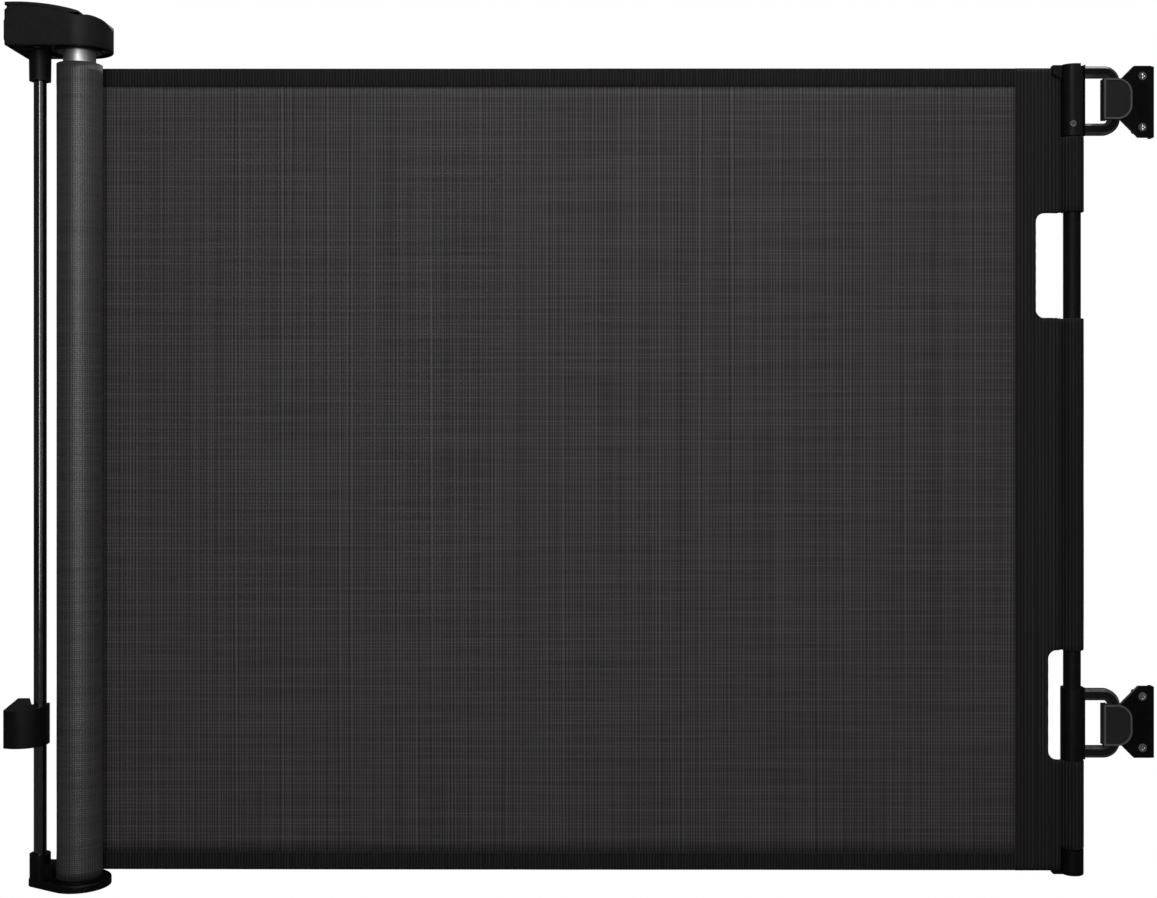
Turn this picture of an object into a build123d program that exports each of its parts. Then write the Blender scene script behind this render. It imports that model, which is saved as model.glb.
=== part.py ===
from build123d import *
import math
import os

os.makedirs("parts", exist_ok=True)

# Retractable safety gate. Millimetres. X runs along the gate from the left wall, +Y goes to the
# back, +Z is up. The origin is on the left wall face, at the middle of the lower wall bracket.

# ---- overall sizes ----
overall_height = 839.0  # underside of the base to the top of the head
bracket_height = 153.0  # underside of the base to the middle of the lower bracket
clamp_spacing = 602.3  # lower clamp to upper clamp, centre to centre
catch_spacing = 603.8  # lower catch to upper catch
bar_x = 1022.5  # left wall to the pull bar's axis, with the mesh pulled out
bar_y = 14.0  # the pull bar and its catches stand this far behind the roller's axis
roller_x = 65.5  # left wall to the roller's axis
rod_x = 27.7  # left wall to the mounting rod's axis
running_gap = 0.05  # radial clearance of a shaft in its bore
body_gap = 0.4  # clearance between pieces that move past each other
seat_gap = 0.1  # clearance of a piece seated in another

base_z = -bracket_height
head_top_z = base_z + overall_height

# ---- mesh and roller ----
fabric_height = 777.0
fabric_rise = 9.0  # underside of the base to the bottom edge of the mesh
mesh_thick = 0.8
hem_width = 17.6
hem_thick = 1.6
roll_radius = 21.5  # the mesh wound on the roller
tube_radius = 15.3
tube_wall = 1.2
fabric_low = base_z + fabric_rise
fabric_high = fabric_low + fabric_height

# ---- head ----
head_radius = 31.5
head_back_x = 5.0  # the head stands this far off the wall, on its wall plate
head_depth = 40.5  # flat top at the wall down to the underside
head_lip_drop = 7.9  # how far the top falls from the wall to the lever's lip
head_bow_drop = 1.1  # how far it has fallen half way there
head_wall = 2.5
floor_thick = 5.0
head_low = head_top_z - head_depth
floor_top = head_low + floor_thick
lever_thick = 3.0
lever_reach = 8.5  # the lever's lip past the roller's axis
lever_pivot_x = 11.0
lever_pivot_drop = 6.5  # top of the head to the lever's pivot
lever_pivot_z = head_top_z - lever_pivot_drop
lever_pin_radius = 1.5
hub_radius = 5.4
cam_lift = 2.5  # how far the brake shoe travels
cam_angle = 30.0  # how far the lever lifts
cam_width = 10.0

# ---- rod ----
rod_radius = 6.0
rod_wall = 1.2
head_socket_radius = 10.4
head_socket_length = 28.0
base_socket_radius = 9.8
base_socket_height = 30.0

# ---- base ----
base_radius = 29.5
base_thick = 7.0
base_ring_radius = 24.0
base_ring_height = 8.5
base_web_height = 21.5
base_cover_thick = 2.0
spindle_radius = 5.0

# ---- pull bar ----
bar_radius = 8.3
bar_wall = 1.2
sleeve_thick = 2.3
sleeve_radius = bar_radius + body_gap + sleeve_thick
band_width = 44.0  # from the edge of the mesh to the sleeves
band_thick = 1.8
clamp_wall = 2.6
clamp_radius = bar_radius + clamp_wall
clamp_height = 69.0
clamp_flange = clamp_radius + 0.5  # bar's axis to the outer face of the loop flange
loop_reach = 45.7  # bar's axis to the outer edge of the loop
loop_height = 66.8
loop_width = 11.3
loop_depth = 9.8
loop_bevel = 2.6
loop_corner = 10.5
upper_hand_low = 390.8
upper_hand_high = 493.0
upper_hand_width = 27.0  # open width beside the bar
lower_hand_low = -37.0
lower_hand_high = 69.5
lower_hand_width = 15.0

# ---- catches ----
hook_reach = 28.2  # bar's axis to the hook's tip
hook_height = 39.4
hook_width = 27.1
hook_corner = 14.0
hook_rim = 1.8
hook_thick = 4.0
hook_tip = 4.6
plate_left = 48.8  # bar's axis to the near edge of the catch plate
plate_right = 79.4
plate_thick = 4.0
plate_height = 69.6
plate_outer_taper = 13.6  # its slanted corners, away from and towards the gate's middle
plate_inner_taper = 18.0
plate_lip = 7.0  # the edge away from the gate turns back this far
plate_lip_thick = 2.6
plate_lip_relief = 0.6
plate_screw_x = 70.6
plate_screw_spacing = 50.0
screw_radius = 2.2

lower_z = -1.0
upper_z = lower_z + clamp_spacing
lower_catch_z = lower_z + (clamp_spacing - catch_spacing) / 2
upper_catch_z = lower_catch_z + catch_spacing


def save(part, label):
    part.label = label
    export_step(part, f"parts/{label}.step")


def ring(axis_x, axis_y, low, high, outer, inner):
    with BuildPart() as made:
        with BuildSketch(Plane.XY.offset(low)):
            with Locations((axis_x, axis_y)):
                Circle(outer)
                Circle(inner, mode=Mode.SUBTRACT)
        extrude(amount=high - low)
    return made.part


def coil(plane, length, coil_radius, wire_radius):
    """A close-wound spring: its touching turns make one ribbed tube along the plane's normal."""
    pitch = 1.7 * wire_radius
    turns = int((length - 2 * wire_radius) / pitch) + 1
    span = (turns - 1) * pitch
    with BuildPart() as made:
        with BuildSketch(Plane(plane.origin, x_dir=plane.x_dir, z_dir=-plane.y_dir)):
            for turn in range(turns):
                height = length / 2 - span / 2 + turn * pitch
                with Locations((coil_radius, height)):
                    Circle(wire_radius)
        revolve(axis=Axis(plane.origin, plane.z_dir))
    return made.part


# ---- wall side: upper wall plate ----
wall_plate_width = 40.0
wall_plate_height = 20.0
wall_plate_low = floor_top + 2.0
wall_plate_z = wall_plate_low + wall_plate_height / 2
neck_width = 30.0
wall_plate_base = 4.5
hook_over_x = head_back_x + head_wall + body_gap / 2
wall_plate_top_x = hook_over_x + 2.3
wall_screw_spacing = 18.0
wall_screw_radius = 2.3

with BuildPart() as upper_wall_plate:
    with BuildSketch(Plane.YZ):
        with Locations((0, wall_plate_z)):
            RectangleRounded(wall_plate_width, wall_plate_height, 2.0)
    extrude(amount=wall_plate_base)
    with BuildSketch(Plane.YZ.offset(wall_plate_base)):
        with Locations((0, wall_plate_z)):
            Rectangle(neck_width, wall_plate_height)
    extrude(amount=hook_over_x - wall_plate_base)
    with BuildSketch(Plane.YZ.offset(hook_over_x)):
        with Locations((0, wall_plate_z)):
            Rectangle(wall_plate_width, wall_plate_height)
    extrude(amount=wall_plate_top_x - hook_over_x)
    with BuildSketch(Plane.YZ):
        with Locations((0, wall_plate_z)):
            with GridLocations(wall_screw_spacing, 0, 2, 1):
                Circle(wall_screw_radius)
    extrude(amount=wall_plate_top_x, mode=Mode.SUBTRACT)
save(upper_wall_plate.part, "upper_wall_plate")


# ---- wall side: head shell ----
lip_x = roller_x + lever_reach
crown_x = roller_x + 17.5
nose_x = roller_x + head_radius
lip_z = head_top_z - head_lip_drop
crown_z = lip_z - 3.1
notch_z = lip_z - 4.3
nose_z = head_top_z - 24.0
# points of the crest behind the lip: place, and the direction that faces out there
crest_points = [
    (crown_x, crown_z, 0.0, 1.0),
    (nose_x - 7.0, head_top_z - 12.5, 0.35, 0.94),
    (nose_x - 3.0, head_top_z - 14.6, 0.66, 0.75),
    (nose_x - 0.8, head_top_z - 18.0, 0.92, 0.4),
    (nose_x, nose_z, 1.0, 0.0),
]


def top_arc(drop):
    """The head's top line from the wall to the lip, lowered by drop."""
    middle_x = (head_back_x + lip_x) / 2
    middle_z = head_top_z - head_bow_drop
    return ThreePointArc(
        (head_back_x, head_top_z - drop),
        (middle_x, middle_z - drop),
        (lip_x, lip_z - drop),
    )


def head_plan(z, radius, back_x):
    with BuildSketch(Plane.XY.offset(z)) as plan:
        with Locations((roller_x, 0)):
            Circle(radius)
        with Locations(((back_x + roller_x) / 2, 0)):
            Rectangle(roller_x - back_x, 2 * radius)
    return plan.sketch


def head_solid(inset, low):
    """The head's outer form, under the lever, inset by a wall thickness."""
    side_y = head_radius - inset
    back_x = head_back_x + inset
    leaf = lever_thick + body_gap
    with BuildPart() as form:
        with BuildSketch(Plane.XZ.offset(-side_y)):
            with BuildLine():
                rise = Line((back_x, low), (back_x, head_top_z - leaf - inset))
                slope = ThreePointArc(
                    rise @ 1,
                    ((head_back_x + lip_x) / 2, head_top_z - head_bow_drop - leaf - inset),
                    (lip_x - 9, lip_z - 2.3 - inset),
                )
                notch = Line(slope @ 1, (lip_x - 2, notch_z - inset))
                crest = Spline(
                    notch @ 1,
                    *[(x - inset * nx, z - inset * nz) for x, z, nx, nz in crest_points],
                    tangents=[(1, 0.1), (0, -1)],
                )
                fall = Line(crest @ 1, (nose_x - inset, low))
                Line(fall @ 1, rise @ 0)
            make_face()
        extrude(amount=2 * side_y)
        with BuildSketch(Plane.XY.offset(low)):
            add(head_plan(low, side_y, back_x))
        extrude(amount=head_depth, mode=Mode.INTERSECT)
    return form.part


head_screw_places = [(32.0, 21.5), (32.0, -21.5), (roller_x + 24.0, 0.0)]
boss_radius = 4.0
head_screw_radius = 1.5
top_bush_radius = 8.0
stub_radius = 4.0
stub_top = floor_top + 19.0
drum_high = floor_top + 14.0
bush_low = drum_high + body_gap
hub_half = head_radius - head_wall - body_gap
pin_half = head_radius - 0.9
shoe_half = 7.0
shoe_nose = 4.0
shoe_left = lever_pivot_x + hub_radius + cam_lift + body_gap

with BuildPart() as head_shell:
    add(head_solid(0.0, floor_top))
    add(head_solid(head_wall, floor_top), mode=Mode.SUBTRACT)
    # bosses for the screws and the roller's top bush hang from the roof
    with BuildSketch(Plane.XY.offset(floor_top)):
        with Locations(*head_screw_places):
            Circle(boss_radius)
    extrude(until=Until.NEXT)
    with BuildSketch(Plane.XY.offset(bush_low)):
        with Locations((roller_x, 0)):
            Circle(top_bush_radius)
    extrude(until=Until.NEXT)
    with BuildSketch(Plane.XY.offset(bush_low)):
        with Locations((roller_x, 0)):
            Circle(stub_radius + running_gap)
    extrude(amount=stub_top - bush_low + body_gap, mode=Mode.SUBTRACT)
    with BuildSketch(Plane.XY.offset(floor_top)):
        with Locations(*head_screw_places):
            Circle(head_screw_radius)
    extrude(amount=12, mode=Mode.SUBTRACT)
    # hollow for the lever's hub, and a slot for the shoe's nose
    with BuildSketch(Plane.XZ.offset(-(hub_half + body_gap))):
        with Locations((lever_pivot_x, lever_pivot_z)):
            Circle(hub_radius + body_gap)
        with Locations((lever_pivot_x, lever_pivot_z + hub_radius)):
            Rectangle(2 * (hub_radius + body_gap), 2 * hub_radius)
    extrude(amount=2 * (hub_half + body_gap), mode=Mode.SUBTRACT)
    with BuildSketch(Plane.XY.offset(lever_pivot_z - 12)):
        with Locations(((lever_pivot_x + shoe_left + shoe_nose) / 2, 0)):
            Rectangle(shoe_left + shoe_nose + 2 * body_gap - lever_pivot_x, 2 * shoe_half + 1)
    extrude(amount=20, mode=Mode.SUBTRACT)
    # the side walls fall away at the wall, so that the back of the leaf can dip
    with BuildSketch(Plane.XZ.offset(-head_radius)):
        with BuildLine():
            dip = Line((head_back_x - 1, head_top_z - 8.2), (head_back_x + 5, head_top_z - 3.4))
            up = Line(dip @ 1, (head_back_x + 5, head_top_z))
            over = Line(up @ 1, (head_back_x - 1, head_top_z))
            Line(over @ 1, dip @ 0)
        make_face()
    extrude(amount=2 * head_radius, mode=Mode.SUBTRACT)
    with BuildSketch(Plane.XZ.offset(-pin_half)):
        with Locations((lever_pivot_x, lever_pivot_z)):
            Circle(lever_pin_radius)
    extrude(amount=2 * pin_half, mode=Mode.SUBTRACT)
    # slot that drops over the wall plate's neck
    with BuildSketch(Plane.YZ.offset(head_back_x - 1)):
        with Locations((0, (floor_top + wall_plate_low + wall_plate_height) / 2)):
            Rectangle(neck_width + 2 * seat_gap, wall_plate_height + 2.0 + seat_gap)
    extrude(amount=head_wall + 2, mode=Mode.SUBTRACT)
save(head_shell.part, "head_shell")

# ---- wall side: lever pin ----
with BuildPart() as lever_pin:
    with BuildSketch(Plane.XZ.offset(-pin_half)):
        with Locations((lever_pivot_x, lever_pivot_z)):
            Circle(lever_pin_radius)
    extrude(amount=2 * pin_half)
save(lever_pin.part, "lever_pin")

# ---- lever: the leaf over the head's top, its hub and its cam ----
with BuildPart() as lock_lever:
    with BuildSketch(Plane.XZ.offset(-head_radius)):
        with BuildLine():
            upper = top_arc(0.0)
            lip = Line(upper @ 1, (lip_x, lip_z - 1.4))
            under = Line(lip @ 1, (lip_x - 10, lip_z - lever_thick + 1.3))
            back = ThreePointArc(
                under @ 1,
                ((head_back_x + lip_x) / 2, head_top_z - head_bow_drop - lever_thick),
                (head_back_x + 0.3, head_top_z - lever_thick),
            )
            Line(back @ 1, upper @ 0)
        make_face()
    extrude(amount=2 * head_radius)
    with BuildSketch(Plane.XY.offset(lip_z - 10)):
        add(head_plan(lip_z - 10, head_radius, head_back_x + 0.3))
    extrude(amount=20, mode=Mode.INTERSECT)
    with BuildSketch(Plane.XZ.offset(-hub_half)):
        with Locations((lever_pivot_x, lever_pivot_z)):
            Circle(hub_radius)
    extrude(amount=2 * hub_half)
    # the cam grows by a steady amount per degree, so the shoe follows the lever evenly
    cam_steps = 6
    cam_height = 3.0
    cam_top = hub_radius + cam_lift
    with BuildSketch(Plane.XZ.offset(-cam_width / 2)):
        with BuildLine():
            spiral = [
                (
                    lever_pivot_x
                    + (cam_top - cam_lift * step / cam_steps)
                    * math.cos(math.radians(cam_angle * step / cam_steps)),
                    lever_pivot_z
                    - (cam_top - cam_lift * step / cam_steps)
                    * math.sin(math.radians(cam_angle * step / cam_steps)),
                )
                for step in range(cam_steps + 1)
            ]
            face = Spline(*spiral)
            inner = Line(face @ 1, (lever_pivot_x, lever_pivot_z))
            top = Line(inner @ 1, (lever_pivot_x, lever_pivot_z + cam_height))
            cap = Line(top @ 1, (lever_pivot_x + cam_top, lever_pivot_z + cam_height))
            Line(cap @ 1, face @ 0)
        make_face()
    extrude(amount=cam_width)
    with BuildSketch(Plane.XZ.offset(-head_radius)):
        with Locations((lever_pivot_x, lever_pivot_z)):
            Circle(lever_pin_radius + running_gap)
    extrude(amount=2 * head_radius, mode=Mode.SUBTRACT)
save(lock_lever.part, "lock_lever")

# ---- roller's drum, and the shoe that grips it ----
drum_radius = 14.0
pad_thick = 3.0
shoe_right = roller_x - drum_radius - body_gap - pad_thick
shoe_low = floor_top + 0.6
shoe_high = shoe_low + 13.0
nose_top = lever_pivot_z - 0.2
lug_x = 30.0
lug_thick = 2.5
lug_reach = 14.5
post_x = 42.0
post_thick = 3.0
spring_y = 11.2
spring_z = shoe_low + 6.5

with BuildPart() as brake_shoe:
    with BuildSketch(Plane.XZ.offset(-shoe_half)):
        with Locations(((shoe_left + shoe_right) / 2, (shoe_low + shoe_high) / 2)):
            Rectangle(shoe_right - shoe_left, shoe_high - shoe_low)
        with Locations((shoe_left + shoe_nose / 2, (shoe_high + nose_top) / 2)):
            Rectangle(shoe_nose, nose_top - shoe_high)
    extrude(amount=2 * shoe_half)
    with BuildSketch(Plane.XZ.offset(-lug_reach)):
        with Locations((lug_x, (shoe_low + shoe_high) / 2)):
            Rectangle(lug_thick, shoe_high - shoe_low)
    extrude(amount=lug_reach - shoe_half)
    # the face that holds the pad is hollowed to the drum's curve
    with BuildSketch(Plane.XY.offset(shoe_low)):
        with Locations((roller_x, 0)):
            Circle(drum_radius + body_gap + pad_thick)
    extrude(amount=shoe_high, mode=Mode.SUBTRACT)
    # a window lightens the block
    with BuildSketch(Plane.XZ.offset(-shoe_half)):
        with Locations(((shoe_left + shoe_right) / 2 - 2, shoe_low + 6.5)):
            RectangleRounded(10.0, 6.0, 1.5)
    extrude(amount=2 * shoe_half, mode=Mode.SUBTRACT)
save(brake_shoe.part, "brake_shoe")

with BuildPart() as brake_pad:
    with BuildSketch(Plane.XY.offset(shoe_low + 1)):
        with Locations((roller_x, 0)):
            Circle(drum_radius + body_gap + pad_thick)
            Circle(drum_radius + body_gap, mode=Mode.SUBTRACT)
        with Locations((roller_x - drum_radius, 0)):
            Rectangle(2 * drum_radius, 2 * shoe_half - 1, mode=Mode.INTERSECT)
    extrude(amount=shoe_high - shoe_low - 2)
save(brake_pad.part, "brake_pad")

spring_plane = Plane(
    (lug_x + lug_thick / 2 + seat_gap, spring_y, spring_z), x_dir=(0, 1, 0), z_dir=(1, 0, 0)
)
spring_length = post_x - post_thick / 2 - lug_x - lug_thick / 2 - 2 * seat_gap
shoe_spring = coil(spring_plane, spring_length, 2.2, 0.45)
save(shoe_spring, "shoe_spring")

# ---- head floor: rod socket, roller opening, shoe guide ----
tube_hole = tube_radius + 0.7
bearing_radius = 20.3
bearing_thick = 1.2
rim_height = 2.0
floor_rim = 2.2
floor_recess = 2.6
with BuildPart() as head_floor:
    with BuildSketch(Plane.XY.offset(head_low)):
        add(head_plan(head_low, head_radius, head_back_x))
    extrude(amount=floor_thick)
    lower_edges = head_floor.faces().sort_by(Axis.Z)[0].edges().sort_by(Axis.X)[1:]
    fillet(lower_edges, radius=1.0)
    # the underside is hollowed between its rim, the rod's socket and the roller's opening
    with BuildSketch(Plane.XY.offset(head_low)):
        add(head_plan(head_low, head_radius - floor_rim, head_back_x + floor_rim))
        with Locations((rod_x, 0)):
            Circle(head_socket_radius, mode=Mode.SUBTRACT)
        with Locations((roller_x, 0)):
            Circle(bearing_radius + floor_rim, mode=Mode.SUBTRACT)
        with Locations(*head_screw_places):
            Circle(boss_radius + 1.5, mode=Mode.SUBTRACT)
        with Locations(((head_back_x + rod_x) / 2, 9), ((head_back_x + rod_x) / 2, -9)):
            Rectangle(rod_x - head_back_x, 1.6, mode=Mode.SUBTRACT)
    extrude(amount=floor_recess, mode=Mode.SUBTRACT)
    # rim that locates the shell, open at the back for the wall plate
    rim_radius = head_radius - head_wall - seat_gap
    with BuildSketch(Plane.XY.offset(floor_top)):
        add(head_plan(floor_top, rim_radius, 26.0))
        with Locations((roller_x, 0)):
            Circle(rim_radius - 2.0, mode=Mode.SUBTRACT)
        with Locations(((24.0 + roller_x) / 2, 0)):
            Rectangle(roller_x - 24.0, 2 * (rim_radius - 2.0), mode=Mode.SUBTRACT)
        with Locations(*head_screw_places):
            Circle(boss_radius + body_gap, mode=Mode.SUBTRACT)
    extrude(amount=rim_height)
    with BuildSketch(Plane.XY.offset(head_low)):
        with Locations((rod_x, 0)):
            Circle(head_socket_radius)
    extrude(amount=-head_socket_length, taper=0.7)
    with BuildSketch(Plane.XY.offset(head_low - head_socket_length)):
        with Locations((rod_x, 0)):
            Circle(rod_radius + seat_gap)
    extrude(amount=head_socket_length, mode=Mode.SUBTRACT)
    with BuildSketch(Plane.XY.offset(head_low)):
        with Locations((roller_x, 0)):
            Circle(tube_hole)
    extrude(amount=floor_thick, mode=Mode.SUBTRACT)
    with BuildSketch(Plane.XY.offset(head_low)):
        with Locations((roller_x, 0)):
            Circle(bearing_radius)
    extrude(amount=bearing_thick, mode=Mode.SUBTRACT)
    # guide rail, spring post and stop for the shoe
    with BuildSketch(Plane.XY.offset(floor_top)):
        with Locations((34.0, -(shoe_half + body_gap + 1.0))):
            Rectangle(18.0, 2.0)
        with Locations((post_x, (shoe_half + body_gap + lug_reach) / 2)):
            Rectangle(post_thick, lug_reach - shoe_half - body_gap)
    extrude(amount=shoe_high - floor_top)
    with BuildSketch(Plane.XY.offset(head_low)):
        with Locations(*head_screw_places):
            Circle(head_screw_radius + 0.3)
    extrude(amount=floor_thick, mode=Mode.SUBTRACT)
    with BuildSketch(Plane.XY.offset(head_low)):
        with Locations(*head_screw_places):
            Circle(3.3)
    extrude(amount=2.4, mode=Mode.SUBTRACT)
save(head_floor.part, "head_floor")

with BuildPart() as upper_bearing:
    with BuildSketch(Plane.XY.offset(head_low - 0.6)):
        with Locations((roller_x, 0)):
            Circle(bearing_radius - seat_gap)
            Circle(tube_hole, mode=Mode.SUBTRACT)
    extrude(amount=bearing_thick + 0.6)
save(upper_bearing.part, "upper_bearing")


with BuildPart() as head_screws:
    with BuildSketch(Plane.XY.offset(head_low + 0.4)):
        with Locations(*head_screw_places):
            Circle(3.0)
    extrude(amount=2.0)
    with BuildSketch(Plane.XY.offset(head_low + 2.4)):
        with Locations(*head_screw_places):
            Circle(head_screw_radius)
    extrude(amount=12.0)
    with BuildSketch(Plane.XY.offset(head_low + 0.4)):
        with Locations(*head_screw_places):
            Rectangle(3.6, 0.8)
            Rectangle(0.8, 3.6)
    extrude(amount=1.2, mode=Mode.SUBTRACT)
save(head_screws.part, "head_screws")

# ---- mounting rod ----
rod_low = base_z + 9.0
rod_high = head_low - 1.0
mounting_rod = ring(rod_x, 0, rod_low, rod_high, rod_radius, rod_radius - rod_wall)
save(mounting_rod, "mounting_rod")

# ---- lower wall bracket: a wall block whose arm wraps the rod from the front ----
bracket_tall = 36.0
bracket_rise = 4.0  # its top climbs this much from front to back
bracket_front = -21.0
bracket_back = 18.0
arm_wall = 2.0
bracket_screw_y = 11.0
bracket_screw_spacing = 20.0
bracket_floor = 4.5
arm_radius = rod_radius + seat_gap + arm_wall
with BuildPart() as lower_wall_bracket:
    with BuildSketch(Plane.XY.offset(-bracket_tall / 2)):
        with BuildLine():
            wall = Line((0, bracket_back), (0, bracket_front))
            front = ThreePointArc(wall @ 1, (15.0, -24.0), (rod_x + 1, -18.0))
            swell = ThreePointArc(
                front @ 1, (rod_x + arm_radius - 2.2, -11.0), (rod_x + arm_radius, 0)
            )
            end = Line(swell @ 1, (rod_x + arm_radius, 3.5))
            tip = Line(end @ 1, (rod_x + 5.2, 3.5))
            mouth = Line(tip @ 1, (rod_x, 0))
            back = Line(mouth @ 1, (rod_x - rod_radius - 1.5, -2.0))
            flank = Line(back @ 1, (11.3, bracket_back))
            Line(flank @ 1, wall @ 0)
        make_face()
        with Locations((rod_x, 0)):
            Circle(rod_radius + seat_gap, mode=Mode.SUBTRACT)
    extrude(amount=bracket_tall + bracket_rise)
    with BuildSketch(Plane.YZ):
        with BuildLine():
            climb = Line(
                (bracket_front - 5, bracket_tall / 2 - 0.5),
                (bracket_back, bracket_tall / 2 + bracket_rise),
            )
            stand = Line(climb @ 1, (bracket_back, bracket_tall))
            across = Line(stand @ 1, (bracket_front - 5, bracket_tall))
            Line(across @ 1, climb @ 0)
        make_face()
    extrude(amount=40, mode=Mode.SUBTRACT)
    with BuildSketch(Plane.YZ):
        with Locations((bracket_screw_y, 0)):
            with GridLocations(0, bracket_screw_spacing, 1, 2):
                Circle(wall_screw_radius)
    extrude(amount=40, mode=Mode.SUBTRACT)
    with BuildSketch(Plane.YZ.offset(bracket_floor)):
        with Locations((bracket_screw_y, 0)):
            with GridLocations(0, bracket_screw_spacing, 1, 2):
                Circle(4.8)
    extrude(amount=30, mode=Mode.SUBTRACT)
save(lower_wall_bracket.part, "lower_wall_bracket")

# ---- base ----


def teardrop(big_radius, small_radius):
    """Plan of the base: the roller's disc drawn in to the rod's socket."""
    span = roller_x - rod_x
    lean = math.asin((big_radius - small_radius) / span)
    with BuildSketch(Plane.XY) as plan:
        with Locations((roller_x, 0)):
            Circle(big_radius)
        with Locations((rod_x, 0)):
            Circle(small_radius)
        corners = [
            (roller_x - big_radius * math.sin(lean), big_radius * math.cos(lean)),
            (rod_x - small_radius * math.sin(lean), small_radius * math.cos(lean)),
        ]
        with BuildLine():
            upper = Line(corners[0], corners[1])
            side = Line(upper @ 1, (corners[1][0], -corners[1][1]))
            lower = Line(side @ 1, (corners[0][0], -corners[0][1]))
            Line(lower @ 1, upper @ 0)
        make_face()
    return plan.sketch


base_screw_places = [
    (roller_x + 21.0 * math.cos(math.radians(turn)), 21.0 * math.sin(math.radians(turn)))
    for turn in (60, 180, 300)
]
cover_inset = 2.4
flange_radius = 11.0
flange_thick = 2.0
base_screw_radius = 1.4

with BuildPart() as base_shell:
    with BuildSketch(Plane.XY.offset(base_z)):
        add(teardrop(base_radius, base_socket_radius + 0.8))
    extrude(amount=base_thick)
    fillet(base_shell.edges().group_by(Axis.Z)[-1], radius=1.6)
    with BuildSketch(Plane.XY.offset(base_z + base_thick)):
        with Locations((roller_x, 0)):
            Circle(base_ring_radius)
    extrude(amount=base_ring_height - base_thick)
    with BuildSketch(Plane.XY.offset(base_z + base_thick)):
        with Locations((rod_x, 0)):
            Circle(base_socket_radius)
    extrude(amount=base_socket_height - base_thick)
    # the web between the socket and the roller's foot
    web_x = roller_x - roll_radius - 1.6
    with BuildSketch(Plane.XY.offset(base_z + base_thick)):
        with Locations(((rod_x + web_x) / 2, 0)):
            Rectangle(web_x - rod_x, 2 * base_socket_radius - 3)
    extrude(amount=base_web_height - base_thick)
    with BuildSketch(Plane.XY.offset(base_z + base_ring_height)):
        with Locations((roller_x, 0)):
            Circle(roll_radius + 1.6)
    extrude(amount=base_web_height, mode=Mode.SUBTRACT)
    with BuildSketch(Plane.XY.offset(rod_low)):
        with Locations((rod_x, 0)):
            Circle(rod_radius + seat_gap)
    extrude(amount=base_socket_height, mode=Mode.SUBTRACT)
    # underside: recess for the cover and the spindle's flange
    with BuildSketch(Plane.XY.offset(base_z)):
        add(teardrop(base_radius - cover_inset, base_socket_radius + 0.8 - cover_inset))
    extrude(amount=base_cover_thick, mode=Mode.SUBTRACT)
    with BuildSketch(Plane.XY.offset(base_z + base_cover_thick)):
        with Locations((roller_x, 0)):
            Circle(flange_radius + seat_gap)
    extrude(amount=flange_thick, mode=Mode.SUBTRACT)
    with BuildSketch(Plane.XY.offset(base_z)):
        with Locations((roller_x, 0)):
            Circle(spindle_radius + seat_gap)
    extrude(amount=base_ring_height, mode=Mode.SUBTRACT)
    with BuildSketch(Plane.XY.offset(base_z)):
        with Locations(*base_screw_places):
            Circle(base_screw_radius)
    extrude(amount=base_ring_height - 1, mode=Mode.SUBTRACT)
save(base_shell.part, "base_shell")

with BuildPart() as base_cover:
    with BuildSketch(Plane.XY.offset(base_z)):
        cover_trim = cover_inset + seat_gap
        add(teardrop(base_radius - cover_trim, base_socket_radius + 0.8 - cover_trim))
    extrude(amount=base_cover_thick)
    with BuildSketch(Plane.XY.offset(base_z)):
        with Locations(*base_screw_places):
            Circle(2.6)
    extrude(amount=1.2, mode=Mode.SUBTRACT)
    with BuildSketch(Plane.XY.offset(base_z)):
        with Locations(*base_screw_places):
            Circle(base_screw_radius + 0.2)
    extrude(amount=base_cover_thick, mode=Mode.SUBTRACT)
save(base_cover.part, "base_cover")

with BuildPart() as base_screws:
    with BuildSketch(Plane.XY.offset(base_z + 0.1)):
        with Locations(*base_screw_places):
            Circle(2.5)
    extrude(amount=1.1)
    with BuildSketch(Plane.XY.offset(base_z + 1.2)):
        with Locations(*base_screw_places):
            Circle(base_screw_radius)
    extrude(amount=6.0)
    with BuildSketch(Plane.XY.offset(base_z + 0.1)):
        with Locations(*base_screw_places):
            Rectangle(3.0, 0.7)
            Rectangle(0.7, 3.0)
    extrude(amount=0.7, mode=Mode.SUBTRACT)
save(base_screws.part, "base_screws")

# ---- base spindle, the spring wound on it, and the roller that turns about them ----
spindle_top = fabric_low + 110.0
with BuildPart() as base_spindle:
    with BuildSketch(Plane.XY.offset(base_z + base_cover_thick)):
        with Locations((roller_x, 0)):
            Circle(flange_radius)
    extrude(amount=flange_thick)
    with BuildSketch(Plane.XY.offset(base_z + base_cover_thick + flange_thick)):
        with Locations((roller_x, 0)):
            Circle(spindle_radius)
    extrude(amount=spindle_top - base_z - base_cover_thick - flange_thick)
save(base_spindle.part, "base_spindle")

plug_length = 20.0
tube_inner = tube_radius - tube_wall
tube_low = fabric_low
tube_high = floor_top + 1.0
spring_wire = 1.3
coil_radius = spindle_radius + seat_gap + spring_wire
spring_low = tube_low + plug_length + 1.0
torsion_spring = coil(
    Plane((roller_x, 0, spring_low)), spindle_top - spring_low - 2.0, coil_radius, spring_wire
)
save(torsion_spring, "torsion_spring")

roller_tube = ring(roller_x, 0, tube_low, tube_high, tube_radius, tube_inner)
save(roller_tube, "roller_tube")

wound_mesh = ring(roller_x, 0, fabric_low, fabric_high, roll_radius, tube_radius)
save(wound_mesh, "wound_mesh")

roller_bottom_plug = ring(
    roller_x, 0, tube_low, tube_low + plug_length, tube_inner, spindle_radius + running_gap
)
save(roller_bottom_plug, "roller_bottom_plug")

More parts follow.
